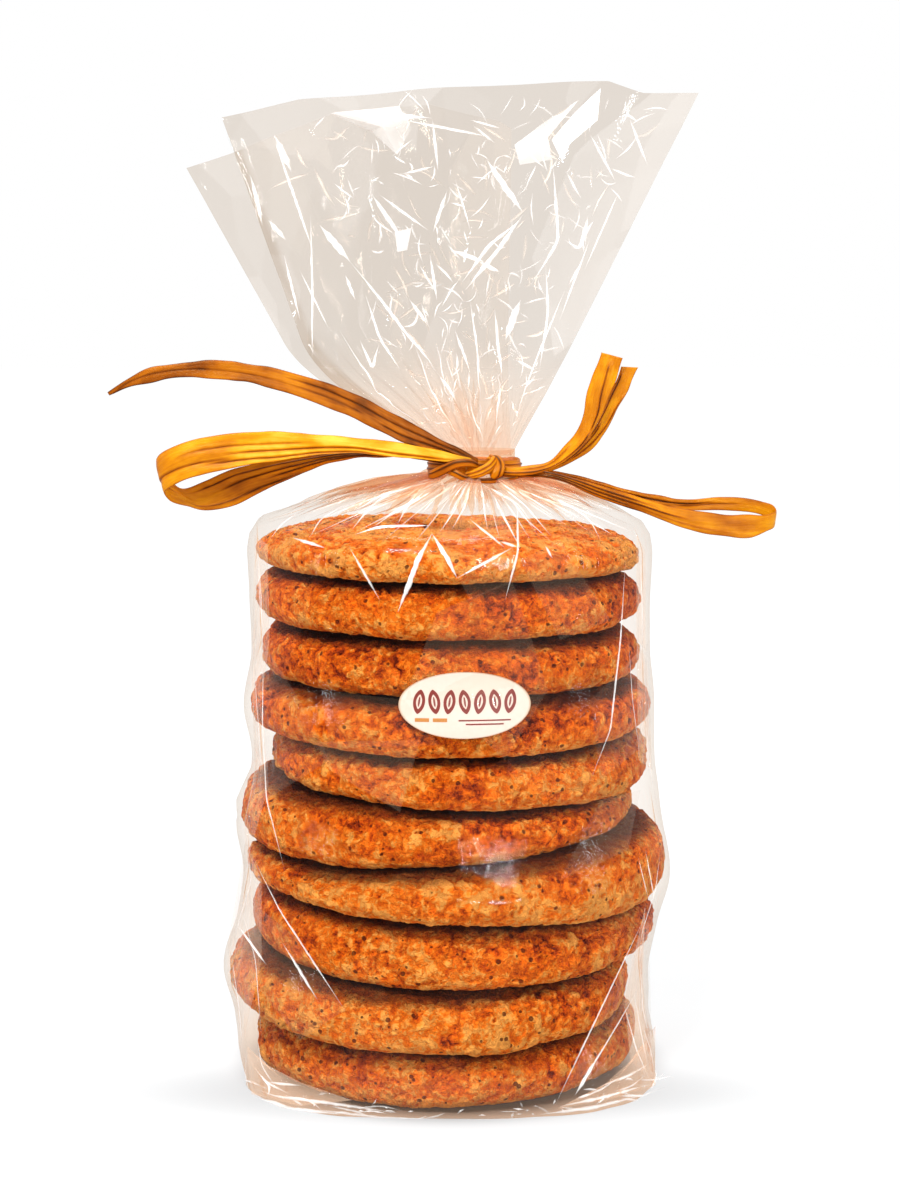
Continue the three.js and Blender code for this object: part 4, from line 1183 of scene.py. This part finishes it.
# more white creases: partly whitened film, partly painted highlights
for pts, w, h in (
    # the crumpled rim of the base
    ([(250, 1086), (275, 1096), (330, 1103), (392, 1112)], 2.4, 0.6), ([(248, 1094), (290, 1108), (340, 1114)], 3.2, 0.75), ([(300, 1108), (380, 1117), (450, 1119)], 1.8, 0.5),
    ([(247, 1052), (246, 1074), (250, 1094)], 2.2, 0.6), ([(254, 1066), (266, 1082), (290, 1094)], 1.8, 0.6), ([(262, 1078), (272, 1086), (268, 1096)], 2.6, 0.8),
    ([(258, 1040), (262, 1066), (278, 1090)], 1.4, 0.45), ([(285, 1096), (310, 1100), (322, 1110)], 1.6, 0.6), ([(330, 1106), (352, 1110), (372, 1117)], 1.6, 0.5),
    ([(655, 1066), (656, 1080), (648, 1092)], 2.4, 0.65), ([(600, 1086), (628, 1076), (652, 1062)], 2.0, 0.6), ([(560, 1106), (600, 1098), (650, 1084)], 2.4, 0.65),
    ([(540, 1114), (590, 1108), (640, 1096)], 2.6, 0.6), ([(612, 1092), (632, 1086), (648, 1072)], 1.5, 0.5), ([(575, 1100), (600, 1090), (618, 1078)], 1.5, 0.5),
    # upright folds at both sides
    ([(258, 545), (262, 600), (263, 650)], 1.5, 0.5), ([(254, 660), (260, 740), (262, 790)], 1.3, 0.45), ([(246, 830), (252, 880), (240, 920), (232, 950)], 1.5, 0.5),
    ([(232, 955), (240, 1010), (243, 1050)], 1.7, 0.55), ([(240, 900), (256, 960), (262, 1040)], 1.3, 0.45), ([(640, 545), (641, 600), (642, 660)], 1.3, 0.45),
    ([(643, 700), (648, 760), (655, 800)], 1.3, 0.45), ([(660, 850), (655, 890), (642, 930), (637, 960)], 1.5, 0.5), ([(640, 965), (642, 1010), (650, 1040)], 1.7, 0.55),
    ([(632, 985), (640, 1030), (648, 1070)], 1.4, 0.5), ([(628, 640), (632, 700), (640, 760)], 1.2, 0.4), ([(622, 1000), (636, 1050), (650, 1082)], 1.8, 0.55),
    # folds out from the tie
    ([(374, 492), (358, 507)], 2.6, 0.8), ([(440, 477), (446, 494)], 2.6, 0.8), ([(450, 496), (459, 478)], 2.0, 0.7), ([(480, 484), (500, 494), (520, 506)], 2.2, 0.7),
    ([(335, 506), (352, 496)], 2.4, 0.7), ([(400, 486), (372, 506), (352, 530)], 2.4, 0.7), ([(425, 484), (408, 505), (398, 524)], 2.2, 0.65), ([(384, 489), (340, 502), (300, 517)], 1.8, 0.6),
    ([(412, 485), (380, 496), (350, 515)], 1.6, 0.6), ([(505, 484), (545, 500), (585, 512)], 2.2, 0.65), ([(530, 482), (570, 494), (615, 512)], 1.8, 0.6), ([(472, 480), (466, 505), (452, 530)], 1.6, 0.6),
    ([(488, 484), (500, 510), (520, 548)], 1.8, 0.6), ([(560, 500), (590, 520), (600, 540)], 1.6, 0.6), ([(300, 512), (282, 524), (270, 540)], 1.8, 0.6), ([(345, 505), (320, 520), (310, 538)], 1.6, 0.55),
    ([(640, 1020), (650, 1050), (655, 1078)], 1.6, 0.5), ([(450, 1119), (510, 1119), (560, 1115)], 1.5, 0.45), ([(596, 1104), (606, 1098), (603, 1092)], 1.8, 0.7),
):
    bodyc.line(pts, w, h, 0.12, 0.2)
for _ in range(46):
    # small folds along the base, white: partly painted highlights
    q = rng.uniform(-1, 1)
    x0, y0 = 452 + 200 * q, 1117 - 26 * abs(q) ** 3.0 - rng.uniform(0, 16) * (0.35 + abs(q))
    x1, y1 = x0 + rng.normal(0, 16), y0 + rng.normal(0, 4)
    bodyc.line([(x0, y0), ((x0 + x1) / 2 + rng.normal(0, 2), (y0 + y1) / 2 + rng.normal(0, 2)), (x1, y1)], rng.uniform(0.7, 2.0), rng.uniform(0.25, 0.7), 0.12, 0.2)
# milky patches over the gaps, at the base corners and along both sides: partly milky film, partly painted reflection
# of the lamps
for pts, h in (
    ([(437, 612), (512, 580), (548, 690), (505, 760), (440, 700), (405, 700)], 0.030),
    ([(316, 742), (420, 740), (400, 812), (330, 770)], 0.039), ([(322, 690), (405, 700), (440, 745), (330, 748)], 0.019),
    ([(600, 800), (640, 790), (628, 850), (560, 880)], 0.039),
    ([(262, 640), (300, 700), (330, 760), (266, 800)], 0.022), ([(590, 700), (650, 640), (650, 740), (600, 780)], 0.025),
    ([(250, 900), (300, 940), (345, 1010), (300, 1040), (252, 980)], 0.033), ([(555, 1105), (600, 1010), (648, 920), (652, 1060), (610, 1100)], 0.039),
    ([(520, 560), (560, 540), (610, 620), (560, 640)], 0.033), ([(462, 478), (510, 478), (516, 580), (470, 600), (438, 540)], 0.028),
    ([(247, 1046), (262, 1062), (300, 1082), (352, 1100), (300, 1106), (252, 1094)], 0.30), ([(655, 1026), (655, 1086), (606, 1100), (556, 1109), (600, 1088), (640, 1052)], 0.26),
    ([(255, 535), (268, 545), (270, 640), (262, 700), (252, 670)], 0.14), ([(252, 670), (262, 700), (268, 790), (248, 860), (244, 825), (258, 770)], 0.12),
    ([(246, 840), (262, 880), (262, 960), (244, 1040), (228, 985), (228, 945)], 0.14), ([(636, 535), (645, 550), (645, 650), (636, 640)], 0.16),
    ([(636, 640), (646, 660), (652, 770), (638, 760)], 0.16), ([(645, 905), (640, 960), (650, 1040), (655, 1085), (630, 1060), (624, 1000)], 0.22),
):
    bodyc.painted_reflection_haze(pts, h)
# peach folds at the neck and along both sides: painted reflection of the biscuits
for pts, w, h in (
    ([(257, 522), (258, 545), (255, 570)], 2.0, 0.12), ([(260, 600), (262, 640), (255, 665)], 2.0, 0.12), ([(253, 680), (260, 720), (264, 780)], 2.2, 0.12),
    ([(248, 830), (250, 865), (241, 915)], 2.2, 0.12), ([(230, 945), (232, 985), (240, 1005)], 2.2, 0.12), ([(634, 527), (642, 550), (642, 600)], 2.0, 0.12),
    ([(642, 640), (643, 700), (647, 750)], 2.2, 0.12), ([(650, 790), (656, 830), (662, 858)], 2.0, 0.12), ([(643, 916), (638, 957), (641, 998)], 2.2, 0.12),
    ([(266, 521), (330, 501), (385, 489), (425, 481)], 2.2, 0.15), ([(525, 480), (580, 495), (640, 520)], 2.2, 0.15), ([(470, 480), (471, 500), (472, 520)], 4.5, 0.10),
    ([(462, 482), (458, 500), (462, 524)], 3.0, 0.10), ([(485, 484), (492, 505), (498, 530)], 4.0, 0.10), ([(420, 482), (400, 500), (380, 520)], 4.5, 0.12),
    ([(395, 488), (365, 502), (330, 520)], 4.5, 0.12), ([(520, 486), (550, 505), (570, 525)], 4.5, 0.12), ([(445, 484), (436, 505), (430, 526)], 4.0, 0.10),
):
    bodyc.line(pts, w, h, 0.06, 0.2, painted_reflection_tint=2.0)
for _ in range(30):
    # brown-tinted folds where the film gathers: painted reflection of the biscuits behind it
    q = rng.uniform(-1.05, 1.05)
    ex, ey = 478 + 170 * math.sin(q * 1.45), 506 + 10 * math.cos(q * 1.45) + rng.uniform(-10, 6)
    a0, a1 = rng.uniform(0.02, 0.3), rng.uniform(0.5, 1.0)
    p0 = (478 + 20 * q + (ex - 478 - 20 * q) * a0, 474 + (ey - 474) * a0 ** 1.2)
    p1 = (478 + 20 * q + (ex - 478 - 20 * q) * a1, 474 + (ey - 474) * a1 ** 1.2)
    bodyc.line([p0, ((p0[0] + p1[0]) / 2 + rng.normal(0, 3), (p0[1] + p1[1]) / 2 + rng.normal(0, 2)), p1], rng.uniform(2.5, 8.0), rng.uniform(0.06, 0.20), 0.06, 0.2, painted_reflection_tint=1.8)
for _ in range(80):
    # pleats that run from the tie out over the shoulder, white: partly painted highlights
    q = rng.uniform(-1.05, 1.05)
    ex, ey = 478 + 175 * math.sin(q * 1.45), 520 + 12 * math.cos(q * 1.45) + rng.uniform(-8, 18)
    a0, a1 = rng.uniform(0.02, 0.35), rng.uniform(0.45, 1.0)
    p0 = (478 + 20 * q + (ex - 478 - 20 * q) * a0, 474 + (ey - 474) * a0 ** 1.2)
    p1 = (478 + 20 * q + (ex - 478 - 20 * q) * a1, 474 + (ey - 474) * a1 ** 1.2)
    bodyc.line([p0, ((p0[0] + p1[0]) / 2 + rng.normal(0, 3), (p0[1] + p1[1]) / 2 + rng.normal(0, 2)), p1], rng.uniform(0.7, 1.8), rng.uniform(0.25, 0.7), 0.1, 0.2)
bodyc.make("film_body_crease_glints")

# the same kinds of white folds on the side that faces away, partly painted highlights
rear = CreaseGlints(Surface("body", -1))
for _ in range(34):
    # long slanting folds of the wall
    x0, y0 = 450 + rng.uniform(-175, 175), rng.uniform(540, 900)
    ln, sl = rng.uniform(50, 190), rng.normal(0, 0.28)
    rear.line([(x0, y0), (x0 + sl * ln * 0.5 + rng.normal(0, 3), y0 + ln * 0.5), (x0 + sl * ln, y0 + ln)], rng.uniform(0.8, 2.2), rng.uniform(0.3, 0.75), 0.12, 0.2)
for _ in range(50):
    # crumpled rim
    q = rng.uniform(-1, 1)
    x0, y0 = 450 + 185 * q, 1010 + 22 * abs(q) ** 2 - rng.uniform(0, 26)
    rear.line([(x0, y0), (x0 + rng.normal(0, 9), y0 + rng.normal(0, 4)), (x0 + rng.normal(0, 16), y0 + rng.normal(0, 6))], rng.uniform(0.8, 2.2), rng.uniform(0.25, 0.7), 0.12, 0.2)
rear.make("film_rear_crease_glints")
# white folds on the back layer of the fan, partly painted highlights
behind = CreaseGlints(Surface("film_fan_back"))
for _ in range(110):
    v = rng.uniform(0, 1) ** 1.2
    px0, py0 = 460 + rng.uniform(-1, 1) * (25 + 150 * (1 - v)), 425 - 290 * (1 - v)
    ang, ln = math.atan2(py0 - 470, px0 - 478) + rng.normal(0, 0.8), rng.uniform(8, 46)
    x1, y1 = px0 + ln * math.cos(ang), py0 + ln * math.sin(ang)
    behind.line([(px0, py0), ((px0 + x1) / 2 + rng.normal(0, 3), (py0 + y1) / 2 + rng.normal(0, 3)), (x1, y1)], rng.uniform(0.8, 2.4), rng.uniform(0.3, 0.8), -0.25, -0.28)
behind.make("film_fan_back_crease_glints")


# ------------------------------------------------------------------ raffia
def catmull(rows, n):
    """Catmull-Rom through the rows, n points."""
    R = np.asarray(rows, float)
    R = np.vstack([2 * R[0] - R[1], R, 2 * R[-1] - R[-2]])
    seg = np.linspace(0, len(R) - 3, n)
    i = np.minimum(seg.astype(int), len(R) - 4)
    t = (seg - i)[:, None]
    a, b, c, d = R[i], R[i + 1], R[i + 2], R[i + 3]
    return 0.5 * (2 * b + (c - a) * t + (2 * a - 5 * b + 4 * c - d) * t * t + (3 * b - a - 3 * c + d) * t ** 3)


def ribbon(name, rows, n, seed, creases=(), thick=0.38, across=30, lum=0.0, bulge=0.30):
    """A closed strand stretched between its two edges. Each crease: start and end along the strand, its place across
    at both, and its depth in mm."""
    R = catmull(rows, n)
    A, B = R[:, :3], R[:, 3:]
    C = (A + B) / 2
    T = np.gradient(C, axis=0)
    T /= np.linalg.norm(T, axis=-1, keepdims=True)
    W = B - A
    wlen = np.linalg.norm(W, axis=-1)
    Wn = W / wlen[:, None]
    N = np.cross(T, Wn)
    N /= np.linalg.norm(N, axis=-1, keepdims=True)
    s = np.concatenate([[0], np.cumsum(np.linalg.norm(np.diff(C, axis=0), axis=-1))])
    u = np.linspace(0, 1, across)
    U, Sg = np.meshgrid(u, s)
    q = Sg / s[-1]
    wl = wlen[:, None]
    low = lambda a, b, k: vnoise(np.stack([Sg.ravel() / a, (U * wl).ravel() / b, np.full(U.size, seed * 0.37)], -1), seed + k).reshape(U.shape)
    off = bulge * np.minimum(1, wl / 4) * (low(22, 3.4, 0) + 0.4 * low(9, 1.6, 1))
    painted_relief_shade = 0 * U
    fade = np.clip(np.minimum(U, 1 - U) * wl / 0.25, 0, 1)
    for s0, s1, u0, u1, dep in creases:
        t = np.clip((q - s0) / (s1 - s0), 0, 1)
        uc = u0 + (u1 - u0) * smooth(t) + 0.02 * np.sin(Sg / 5.0 + seed)
        on = smooth((q - s0) / 0.06) * smooth((s1 - q) / 0.06)
        d = (U - uc) * wl
        # a sharp fold: steep on one side, easing out on the other
        v = np.where(d < 0, np.maximum(0, 1 + d / 0.35), np.maximum(0, 1 - d / 1.3) ** 1.5)
        off = off - dep * on * v * np.minimum(1, wl / 3)
        painted_relief_shade = np.maximum(painted_relief_shade, on * min(1, dep / 0.5) * np.exp(-(d / 0.20) ** 2))
    edge = 0.22 * vnoise(np.stack([s / 4.5, np.zeros_like(s), np.full_like(s, seed)], -1), seed + 4)
    base = A[:, None] + W[:, None] * U[..., None]
    mid = base + N[:, None] * off[..., None] + Wn[:, None] * (edge[:, None] * (2 * U - 1))[..., None]
    half = 0.5 * thick * np.sqrt(np.clip(1 - (2 * U - 1) ** 8, 0.02, 1))
    front, back = mid + N[:, None] * half[..., None], mid - N[:, None] * half[..., None]
    ring = np.concatenate([front, back[:, ::-1]], 1)
    K = ring.shape[1]
    V = ring.reshape(-1, 3)
    quads = [tuple(int(i) for i in q4) for q4 in grid_quads(n, K, False, True)]
    quads.append(tuple(range(K - 1, -1, -1)))
    quads.append(tuple((n - 1) * K + k for k in range(K)))
    # darker along both edges of the strand: painted shade
    rimd = 0.45 * np.exp(-(np.minimum(U, 1 - U) * wl / 0.16) ** 2)
    painted_relief_shade = np.clip(np.maximum(painted_relief_shade, rimd), 0, 1)
    two = lambda g: np.concatenate([g, g[:, ::-1]], 1).ravel()
    ob = new_mesh(name, V, quads, [MAT_RAFFIA], True, {
        "across": two(U * wl), "along": two(Sg), "crease": two(painted_relief_shade), "tone": np.full(len(V), seed * 0.731), "lum": two(np.interp(q, np.linspace(0, 1, len(np.atleast_1d(lum))), np.atleast_1d(lum)) if np.ndim(lum) else lum + 0 * q)}, closed=True)
    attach(ob, "root")
    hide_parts("raffia_tie")
    return ob


# the last argument sets brightness along each strand: partly painted light, partly the straw's own tone
ribbon("raffia_left_tail", LEFT_TAIL, 120, 3, [(0.0, 0.55, 0.45, 0.30, 0.25), (0.30, 0.98, 0.62, 0.45, 0.16), (0.0, 0.30, 0.8, 0.7, 0.35)], lum=[-0.34, -0.26, -0.20, -0.18])
ribbon("raffia_left_loop", LEFT_LOOP, 250, 5, [
    (0.02, 0.40, 0.80, 0.58, 0.60), (0.12, 0.43, 0.97, 0.78, 0.55), (0.24, 0.47, 0.40, 0.34, 0.35), (0.36, 0.56, 0.72, 0.55, 0.4),
    (0.56, 0.99, 0.22, 0.35, 0.55), (0.60, 0.99, 0.46, 0.62, 0.60), (0.66, 0.97, 0.68, 0.80, 0.50), (0.52, 0.74, 0.80, 0.92, 0.35), (0.74, 0.95, 0.10, 0.16, 0.5)], lum=[0.24, 0.34, 0.34, 0.16, 0.02, -0.10, -0.08, -0.12, -0.20])
ribbon("raffia_right_loop", RIGHT_LOOP, 250, 8, [
    (0.03, 0.30, 0.20, 0.30, 0.60), (0.06, 0.36, 0.55, 0.52, 0.55), (0.02, 0.26, 0.80, 0.78, 0.4), (0.24, 0.44, 0.76, 0.80, 0.18),
    (0.60, 0.99, 0.40, 0.35, 0.55), (0.66, 0.99, 0.70, 0.72, 0.50), (0.55, 0.72, 0.5, 0.6, 0.3)], lum=[-0.12, -0.10, -0.04, 0.02, -0.04, -0.10, -0.20])
ribbon("raffia_right_tail_a", RIGHT_TAIL_A, 120, 11, [(0.02, 0.62, 0.70, 0.86, 0.55), (0.58, 0.98, 0.86, 0.50, 0.65), (0.15, 0.5, 0.35, 0.3, 0.25)], lum=0.06)
ribbon("raffia_right_tail_b", RIGHT_TAIL_B, 120, 14, [(0.02, 0.70, 0.45, 0.30, 0.6), (0.40, 0.86, 0.55, 0.90, 0.40), (0.55, 0.99, 0.12, 0.16, 0.5)], lum=0.08)


def band(name, centre, width, seed, side=(0, 0, 1), n=60, **kw):
    """A strand that follows centre points with a width and a direction across."""
    C = catmull(centre, n)
    d = np.asarray(side, float)
    T = np.gradient(C, axis=0)
    T /= np.linalg.norm(T, axis=-1, keepdims=True)
    D = d - T * (T @ d)[:, None]
    D /= np.linalg.norm(D, axis=-1, keepdims=True)
    w = np.interp(np.linspace(0, 1, n), np.linspace(0, 1, len(width)), width)[:, None]
    rows = np.hstack([C + D * w / 2, C - D * w / 2])
    return ribbon(name, rows, n, seed, across=18, **kw)


TWO = [(0.0, 1.0, 0.36, 0.30, 0.45), (0.1, 0.9, 0.7, 0.72, 0.4)]
ringpts = [(NECK["x"] + (NECK["a"] + 1.0) * math.cos(t), NECK["y"] + (NECK["b"] + 1.0) * math.sin(t), 137.4) for t in np.linspace(-math.pi / 2 - 0.2, 1.5 * math.pi - 0.1, 40)]
band("raffia_wrap", ringpts, [3.0, 3.2, 2.8, 3.2, 3.0], 17, n=80, creases=TWO, thick=0.5)
band("raffia_knot_left", [(-4.6, -8.4, 135.9), (-3.6, -9.6, 136.1), (-1.4, -10.6, 137.2), (1.4, -11.2, 138.5), (4.2, -11.3, 138.7), (6.2, -10.4, 137.9)], [2.0, 2.3, 2.0, 1.6, 1.4, 1.2], 20, creases=TWO[:1], thick=0.7, lum=-0.05)
band("raffia_knot_under", [(-2.0, -8.8, 137.2), (0.6, -10.4, 136.6), (3.2, -11.2, 135.4), (6.4, -11.4, 134.8), (10.4, -11.2, 134.9), (15.0, -11.4, 135.5)], [1.6, 1.8, 1.6, 1.3, 1.1, 0.9], 29, creases=TWO[:1], thick=0.6, lum=-0.2)
band("raffia_knot_front", [(3.6, -10.6, 135.9), (5.0, -11.8, 136.2), (7.0, -12.2, 136.9), (8.8, -12.0, 138.0), (9.6, -10.8, 139.3), (9.0, -9.0, 139.8)], [1.6, 2.2, 2.5, 2.4, 2.0, 1.4], 23, side=(-0.35, 0, 1), creases=TWO, thick=0.7, lum=0.06)
band("raffia_knot_right", [(8.6, -8.8, 139.6), (10.2, -10.0, 139.4), (10.9, -11.4, 138.0), (10.5, -11.9, 136.6), (9.4, -11.4, 135.4)], [1.6, 2.0, 2.2, 2.2, 1.8], 26, side=(1, 0, 0.2), creases=TWO[:1], thick=0.6, lum=0.0)


# ------------------------------------------------------------------ label
def front_y(x, z):
    l, r, f, b = table(FILM, z)
    n = body_exponent(z)
    a = np.where(x < 0, l, r)
    return -f * np.maximum(0, 1 - np.abs(x / a) ** n) ** (1 / n)


def label_disc(name, rings, off, mat, attrs=None, squeeze=1.0, thick=0.32):
    """A thin closed plate bent to the film: rings from 0 to 1 of the label's own half axes."""
    NP = 144
    th = np.linspace(0, 2 * math.pi, NP, endpoint=False)
    fr, bk = [], []
    for k in rings:
        x = LABEL["x"] + LABEL["w"] / 2 * k * np.cos(th)
        z = LABEL["z"] + LABEL["h"] / 2 * k * np.sin(th)
        y = front_y(x, z)
        fr.append(np.stack([x, y - off - thick, z], -1))
        bk.append(np.stack([x, y - off, z], -1))
    P = np.concatenate([fr, bk[::-1]], 0)
    # darker towards the outer edge: painted shade
    rim = np.repeat([smooth((k - 0.965) / 0.03) for k in rings] + [1.0] * len(rings), NP)
    quads = [tuple(int(i) for i in q) for q in grid_quads(len(P), NP, False, True)]
    quads.append(tuple(range(NP - 1, -1, -1)))
    last = (len(P) - 1) * NP
    quads.append(tuple(range(last, last + NP)))
    ob = new_mesh(name, P.reshape(-1, 3), quads, [mat], True, {"rim": rim}, closed=True)
    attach(ob, "root")
    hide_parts("label")
    return ob


def on_label(pts, off):
    """Points of the label's face, given as x, z in mm from its centre."""
    pts = np.asarray(pts, float)
    x, z = LABEL["x"] + pts[:, 0], LABEL["z"] + pts[:, 1]
    return np.stack([x, front_y(x, z) - off, z], -1)


def ink(name, shapes, mat, off=0.75, thick=0.06):
    """Raised print: each shape is a pair of closed outlines, inner and outer, or an outline and its centre."""
    V, F = [], []
    for inner, outer in shapes:
        m = len(outer)
        a, b = len(V), len(V) + m
        fr = np.vstack([on_label(inner, off + thick), on_label(outer, off + thick)])
        bk = np.vstack([on_label(inner, off - 0.02), on_label(outer, off - 0.02)])
        V += list(fr) + list(bk)
        c, d = a + 2 * m, b + 2 * m
        for k in range(m):
            q = (k + 1) % m
            F += [(a + k, b + k, b + q, a + q), (c + k, c + q, d + q, d + k), (b + k, d + k, d + q, b + q), (a + k, a + q, c + q, c + k)]
    ob = new_mesh(name, np.array(V), F, [mat], False, closed=True)
    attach(ob, "root")
    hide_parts("label")


def ellipse(rx, rz, cx=0.0, cz=0.0, m=96, lens=1.0, turn=0.0):
    t = np.linspace(0, 2 * math.pi, m, endpoint=False)
    x, z = rx * np.sign(np.cos(t)) * np.abs(np.cos(t)) ** lens, rz * np.sin(t)
    c, s = math.cos(turn), math.sin(turn)
    return np.stack([cx + x * c - z * s, cz + x * s + z * c], -1)


def bar(w, h, cx, cz):
    t = np.linspace(-1, 1, 9)
    o = np.array([(cx + w / 2 * k, cz - h / 2) for k in t] + [(cx - w / 2 * k, cz + h / 2) for k in t])
    return (o - (cx, cz)) * (0.9, 0.02) + (cx, cz), o


almonds = []
for k in range(7):
    cx = -9.6 + 3.2 * k
    turn = 0.16 if k % 2 else -0.16
    almonds.append((ellipse(0.62, 1.55, cx, 0.75, 40, 1.7, turn), ellipse(1.25, 2.55, cx, 0.75, 40, 1.45, turn)))
    almonds.append((ellipse(0.02, 0.6, cx, 0.75, 24, 1.0, turn), ellipse(0.20, 1.05, cx, 0.75, 24, 1.0, turn)))
ink("label_print_brown", almonds + [bar(11.0, 0.28, 4.2, -3.1), bar(8.0, 0.28, 4.2, -3.9)], MAT_INK[0])
ink("label_print_ochre", [bar(3.0, 0.75, -9.0, -3.0), bar(3.0, 0.75, -5.2, -3.0)], MAT_INK[1])
label_disc("label_plate", [0.12, 0.3, 0.5, 0.7, 0.85, 0.93, 0.965, 0.985, 0.995, 1.0], 0.40, MAT_LABEL, thick=0.35)


# ------------------------------------------------------------------ floor, light, camera
floor = bpy.data.meshes.new("studio_floor")
bm = bmesh.new()
bmesh.ops.create_grid(bm, x_segments=2, y_segments=2, size=4.0)
bm.to_mesh(floor)
bm.free()
floor.materials.append(MAT_FLOOR)
floor_ob = bpy.data.objects.new("studio_floor", floor)
bpy.context.scene.collection.objects.link(floor_ob)
floor_ob.visible_glossy = False

world = bpy.data.worlds.new("studio")
bpy.context.scene.world = world
world.use_nodes = True
wt = world.node_tree
bg = wt.nodes["Background"]
bg.inputs[0].default_value = (1, 1, 1, 1)
bg.inputs[1].default_value = 0.42
seen = wt.nodes.new("ShaderNodeBackground")
seen.inputs[0].default_value = (1, 1, 1, 1)
seen.inputs[1].default_value = 1.0
dim = wt.nodes.new("ShaderNodeBackground")
dim.inputs[0].default_value = (1, 1, 1, 1)
# what shiny surfaces mirror: a white backdrop behind the object, a dim room in front of it
way = wt.nodes.new("ShaderNodeTexCoord")
part = wt.nodes.new("ShaderNodeSeparateXYZ")
wt.links.new(way.outputs["Generated"], part.inputs[0])
fade = wt.nodes.new("ShaderNodeMapRange")
for key, v in (("From Min", -0.35), ("From Max", 0.55), ("To Min", 0.14), ("To Max", 0.80)):
    fade.inputs[key].default_value = v
wt.links.new(part.outputs["Y"], fade.inputs["Value"])
wt.links.new(fade.outputs[0], dim.inputs[1])
path = wt.nodes.new("ShaderNodeLightPath")
soft = wt.nodes.new("ShaderNodeMixShader")
pick = wt.nodes.new("ShaderNodeMixShader")
wt.links.new(path.outputs["Is Glossy Ray"], soft.inputs[0])
wt.links.new(bg.outputs[0], soft.inputs[1])
wt.links.new(dim.outputs[0], soft.inputs[2])
wt.links.new(path.outputs["Is Camera Ray"], pick.inputs[0])
wt.links.new(soft.outputs[0], pick.inputs[1])
wt.links.new(seen.outputs[0], pick.inputs[2])
wt.links.new(pick.outputs[0], wt.nodes["World Output"].inputs["Surface"])


def area(name, at, to, size, power, color=(1, 1, 1)):
    L = bpy.data.lights.new(name, "AREA")
    L.shape = "RECTANGLE"
    L.size, L.size_y = size
    L.energy = power
    L.color = color
    ob = bpy.data.objects.new(name, L)
    ob.location = at
    ob.rotation_euler = (Vector(to) - Vector(at)).to_track_quat("-Z", "Y").to_euler()
    bpy.context.scene.collection.objects.link(ob)
    return ob


area("key", (-0.28, -0.72, 0.92), (0, 0, 0.10), (0.24, 0.18), 9.2)
area("fill", (0.35, -0.95, 0.40), (0, 0, 0.10), (0.14, 0.16), 3.6)
area("top", (0.0, 0.10, 0.85), (0, 0, 0.12), (0.30, 0.30), 3.2)
area("right_strip", (0.70, -0.20, 0.35), (0, 0, 0.12), (0.05, 0.5), 1.0)
area("left_strip", (-0.70, -0.20, 0.30), (0, 0, 0.12), (0.045, 0.5), 0.9)

cam = bpy.data.cameras.new("camera")
cam.sensor_width = 36.0
cam.lens = FOCAL / 1200.0 * 36.0
cam.clip_start, cam.clip_end = 0.01, 50
cam_ob = bpy.data.objects.new("camera", cam)
cam_ob.location = (0, -CAM_D * MM, CAM_H * MM)
cam_ob.rotation_euler = (math.pi / 2 - PITCH, 0, 0)
bpy.context.scene.collection.objects.link(cam_ob)
bpy.context.scene.camera = cam_ob

sc = bpy.context.scene
sc.view_settings.view_transform = "Standard"
sc.view_settings.look = "None"
sc.cycles.transparent_max_bounces = 32
sc.cycles.max_bounces = 10
